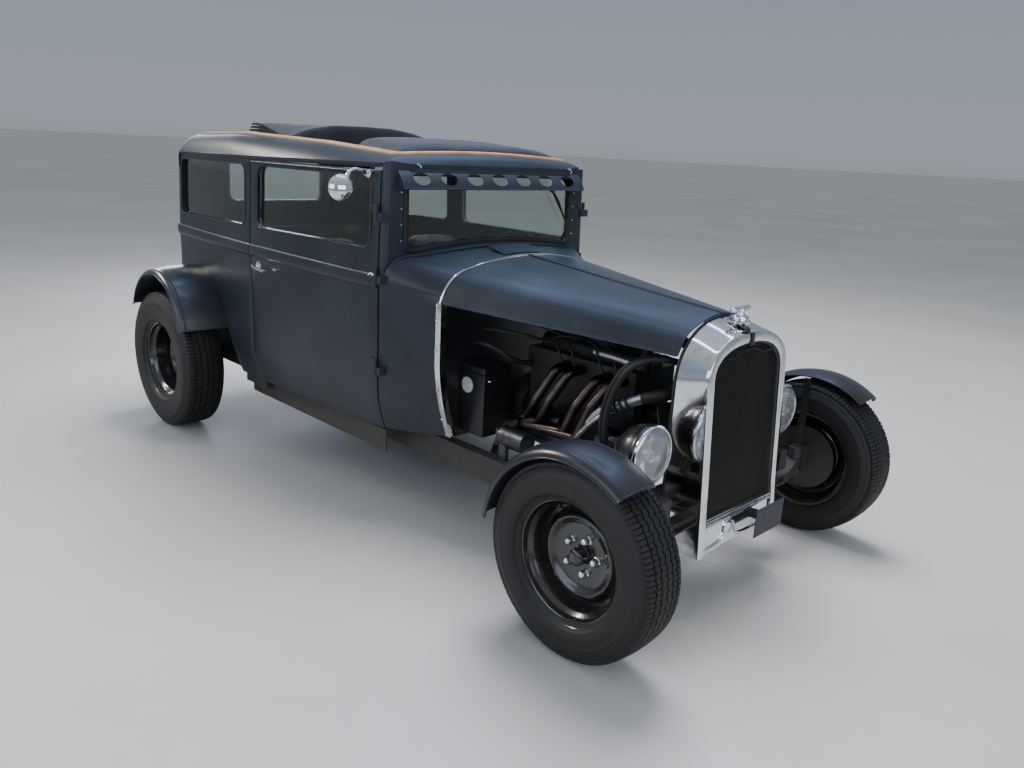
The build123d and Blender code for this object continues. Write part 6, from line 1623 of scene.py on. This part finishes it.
# Wiper: it hangs from the header on the car's left, with its arm, blade holder and rubber
wiper_foot, wiper_tip = np.array([352, 1214, 1330.0]), np.array([424, 1211, 1228.0])
arm_path = curve_through([wiper_foot, wiper_foot + (14, -6, -22), (wiper_foot + wiper_tip) / 2 + (0, -7, 0),
                          wiper_tip], 24)
blade_way = (wiper_tip - wiper_foot) / np.linalg.norm(wiper_tip - wiper_foot)
blade_mid = wiper_tip - blade_way * 30
blade_path = np.array([blade_mid + blade_way * k + (0, 2, 0) for k in np.linspace(-105, 85, 24)])
wiper = [sweep(arm_path, [(-3, -1.4), (3, -1.4), (2.4, 1.6), (-2.4, 1.6)]),
         sweep(blade_path, [(-4, -2), (4, -2), (3, 2), (-3, 2)]),
         lathe([(-9, 0.01), (-9, 10), (2, 10), (6, 8), (8, 4), (8.5, 0.01)], wiper_foot, (0, -1, 0), 24)]
make_piece("wiper_arm", wiper, "chassis", black_plastic)
squeegee = sweep(blade_path + (0, 3.4, 0), [(-1.6, -1.5), (1.6, -1.5), (0.7, 3.6), (-0.7, 3.6)])
make_piece("wiper_rubber", [squeegee], "chassis", rubber)

# Seats: crowned pads swollen by a run of cloth under pressure, then sewn into channels
SEAM_STEP, SEAM_DEPTH_M, SEAM_REACH = 58, 0.006, 7
SOFT_ROUND, FLAT_ROUND = 0.28, 0.42  # powers of a pad's plan and of its section: 1 is an ellipse, 0 a box


def power_of(value, exponent):
    """A power that keeps the sign."""
    return np.sign(value) * np.abs(value)**exponent


def pad(name, low, high, lean, replaces=()):
    """Superellipsoid in a box, sheared backward by lean. Seams a step apart press in by a bell curve."""
    low, high = np.asarray(low, float), np.asarray(high, float)
    middle, half = (low + high) / 2, (high - low) / 2
    a, b = np.meshgrid(np.linspace(-np.pi / 2, np.pi / 2, 41), np.linspace(0, 2 * np.pi, 80, endpoint=False),
                       indexing="ij")
    unit = np.stack([power_of(np.cos(a), SOFT_ROUND) * power_of(np.cos(b), SOFT_ROUND),
                     power_of(np.cos(a), SOFT_ROUND) * power_of(np.sin(b), SOFT_ROUND),
                     power_of(np.sin(a), FLAT_ROUND)], -1)
    points = middle + unit * half * 0.95
    points[..., 1] += lean * (points[..., 2] - low[2])
    piece = make_piece(name, [grid(points, wrap_cols=True)], "chassis", leather, replaces, sharp=180)
    swell(piece)
    mesh = piece.data
    spots = np.empty(len(mesh.vertices) * 3)
    ways = np.empty(len(mesh.vertices) * 3)
    mesh.vertices.foreach_get("co", spots)
    mesh.vertices.foreach_get("normal", ways)
    spots, ways = spots.reshape(-1, 3), ways.reshape(-1, 3)
    off_middle = spots[:, 0] * 1000 - middle[0]
    from_seam = np.abs((off_middle + SEAM_STEP / 2) % SEAM_STEP - SEAM_STEP / 2)
    facing = np.clip(ways[:, 2] - ways[:, 1], 0, 1) * (1 - smooth_step(np.abs(off_middle), half[0] - 40, half[0] - 20))
    spots -= ways * (SEAM_DEPTH_M * facing * np.exp(-(from_seam / SEAM_REACH)**2))[:, None]
    mesh.vertices.foreach_set("co", spots.ravel())
    finer = piece.modifiers.new("finer", "SUBSURF")
    finer.levels = finer.render_levels = 1


def swell(piece, voxel=0.012, most=0.02):
    """Even mesh, 20 frames of cloth under pressure with no gravity, and a cap on how far a point moves."""
    even = piece.modifiers.new("even", "REMESH")
    even.mode, even.voxel_size, even.use_smooth_shade = "VOXEL", voxel, True
    mesh = bpy.data.meshes.new_from_object(piece.evaluated_get(bpy.context.evaluated_depsgraph_get()))
    piece.modifiers.clear()
    piece.data = mesh
    before = np.empty(len(mesh.vertices) * 3)
    mesh.vertices.foreach_get("co", before)
    cloth = piece.modifiers.new("cloth", "CLOTH")
    cloth.settings.use_pressure = True
    cloth.settings.uniform_pressure_force = 4
    cloth.settings.effector_weights.gravity = 0
    for step in range(1, 21):
        scene.frame_set(step)
    after = np.empty_like(before)
    piece.evaluated_get(bpy.context.evaluated_depsgraph_get()).data.vertices.foreach_get("co", after)
    piece.modifiers.clear()
    scene.frame_set(1)
    move = (after - before).reshape(-1, 3)
    far = np.linalg.norm(move, axis=1, keepdims=True)
    move *= np.minimum(1, most / np.maximum(far, 1e-9))
    mesh.vertices.foreach_set("co", before + move.ravel())
    mesh.update()


front_low, front_high = box_of("front_seats")
rear_low, rear_high = box_of("rear_seat")
BACK_LEAN = 0.09
seat_spans = {"right": (front_low[0], -140), "left": (140, front_high[0])}
for side, (x0, x1) in seat_spans.items():
    pad(f"front_cushion_{side}", (x0, front_low[1] + 4, front_low[2] + 6),
        (x1, front_low[1] + 452, front_low[2] + 196), 0, ["front_seats"] if side == "right" else ())
    pad(f"front_backrest_{side}", (x0 + 6, front_low[1] + 424, front_low[2] + 176),
        (x1 - 6, front_low[1] + 528, front_high[2] - 4), BACK_LEAN)
pad("rear_cushion", (rear_low[0], rear_low[1] + 4, rear_low[2] + 6),
    (rear_high[0], rear_low[1] + 392, rear_low[2] + 190), 0, ["rear_seat"])
pad("rear_backrest", (rear_low[0] + 6, rear_low[1] + 364, rear_low[2] + 170),
    (rear_high[0] - 6, rear_low[1] + 470, rear_high[2] - 4), BACK_LEAN)

# Radiator core: the shell's arch as a block, with fine fins pressed across its front
core_arch = arch(236, 776, 915, 2.3, low=298)
core_middle = np.repeat([[0.0, 640.0]], len(core_arch), 0)
core_rings = ((core_middle, -46), (core_arch, -46), (core_arch, 40), (core_middle, 40))
core_block = grid(np.stack([np.c_[ring[:, 0], np.full(len(ring), y), ring[:, 1]] for ring, y in core_rings]),
                  wrap_cols=True)
fin_z = np.arange(310, 880, 9.0)
fins = [sweep([(-net_reach(z) + 8, -47, z), (net_reach(z) - 8, -47, z)],
              [(-1.4, -2), (-1.4, 2.2), (1.4, 2.2), (1.4, -2)], guide=(0, -1, 0)) for z in fin_z]
make_piece("core_skin", [core_block, *fins], "chassis", mesh_black, ["radiator_core"], sharp=50)

# Screws round the windscreen rubber, and two bright clips on the header
screws = [lathe([(-1, 0.01), (-1, 4.2), (1.2, 3.4), (1.9, 0.01)], (x, SURROUND_Y[0] - 0.4, z), (0, -1, 0), 14)
          for x in (-507, 507) for z in np.linspace(1130, 1320, 4)]
for x in (-443, 443):
    screws.append(tube([(x, 1226, 1424), (x, 1208, 1428), (x + 10, 1200, 1420), (x + 12, 1206, 1408)], 3, 24, 10))
make_piece("screen_screws", screws, "chassis", chrome)


# Finish of the CAD nodes that stay in view
kept = {
    chassis_black: ("frame_rails", "front_axle", "radius_rods", "floor_pan", "wheel_houses", "knuckle_right",
                    "knuckle_left", "tie_rod", "rear_axle"),
    satin_black: ("firewall", "dashboard"),
    spring_steel: ("leaf_springs",),
    cast_iron: ("engine",),
    header_steel: ("exhaust",),
    aged_alloy: ("engine_fittings", "intake"),
    rubber: ("top_hose",),
    window_glass: ("window_glass", "door_glass_right", "door_glass_left"),
    body_paint: ("hood_hinge", "door_hinges"),
    tail_red: ("tail_lamps",),
    plate_blue: ("number_plate",),
    black_plastic: ("steering_wheel",),
}
for material, names in kept.items():
    for name in names:
        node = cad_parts[name]
        node.data.materials.clear()
        node.data.materials.append(material)

low, high = cad_box
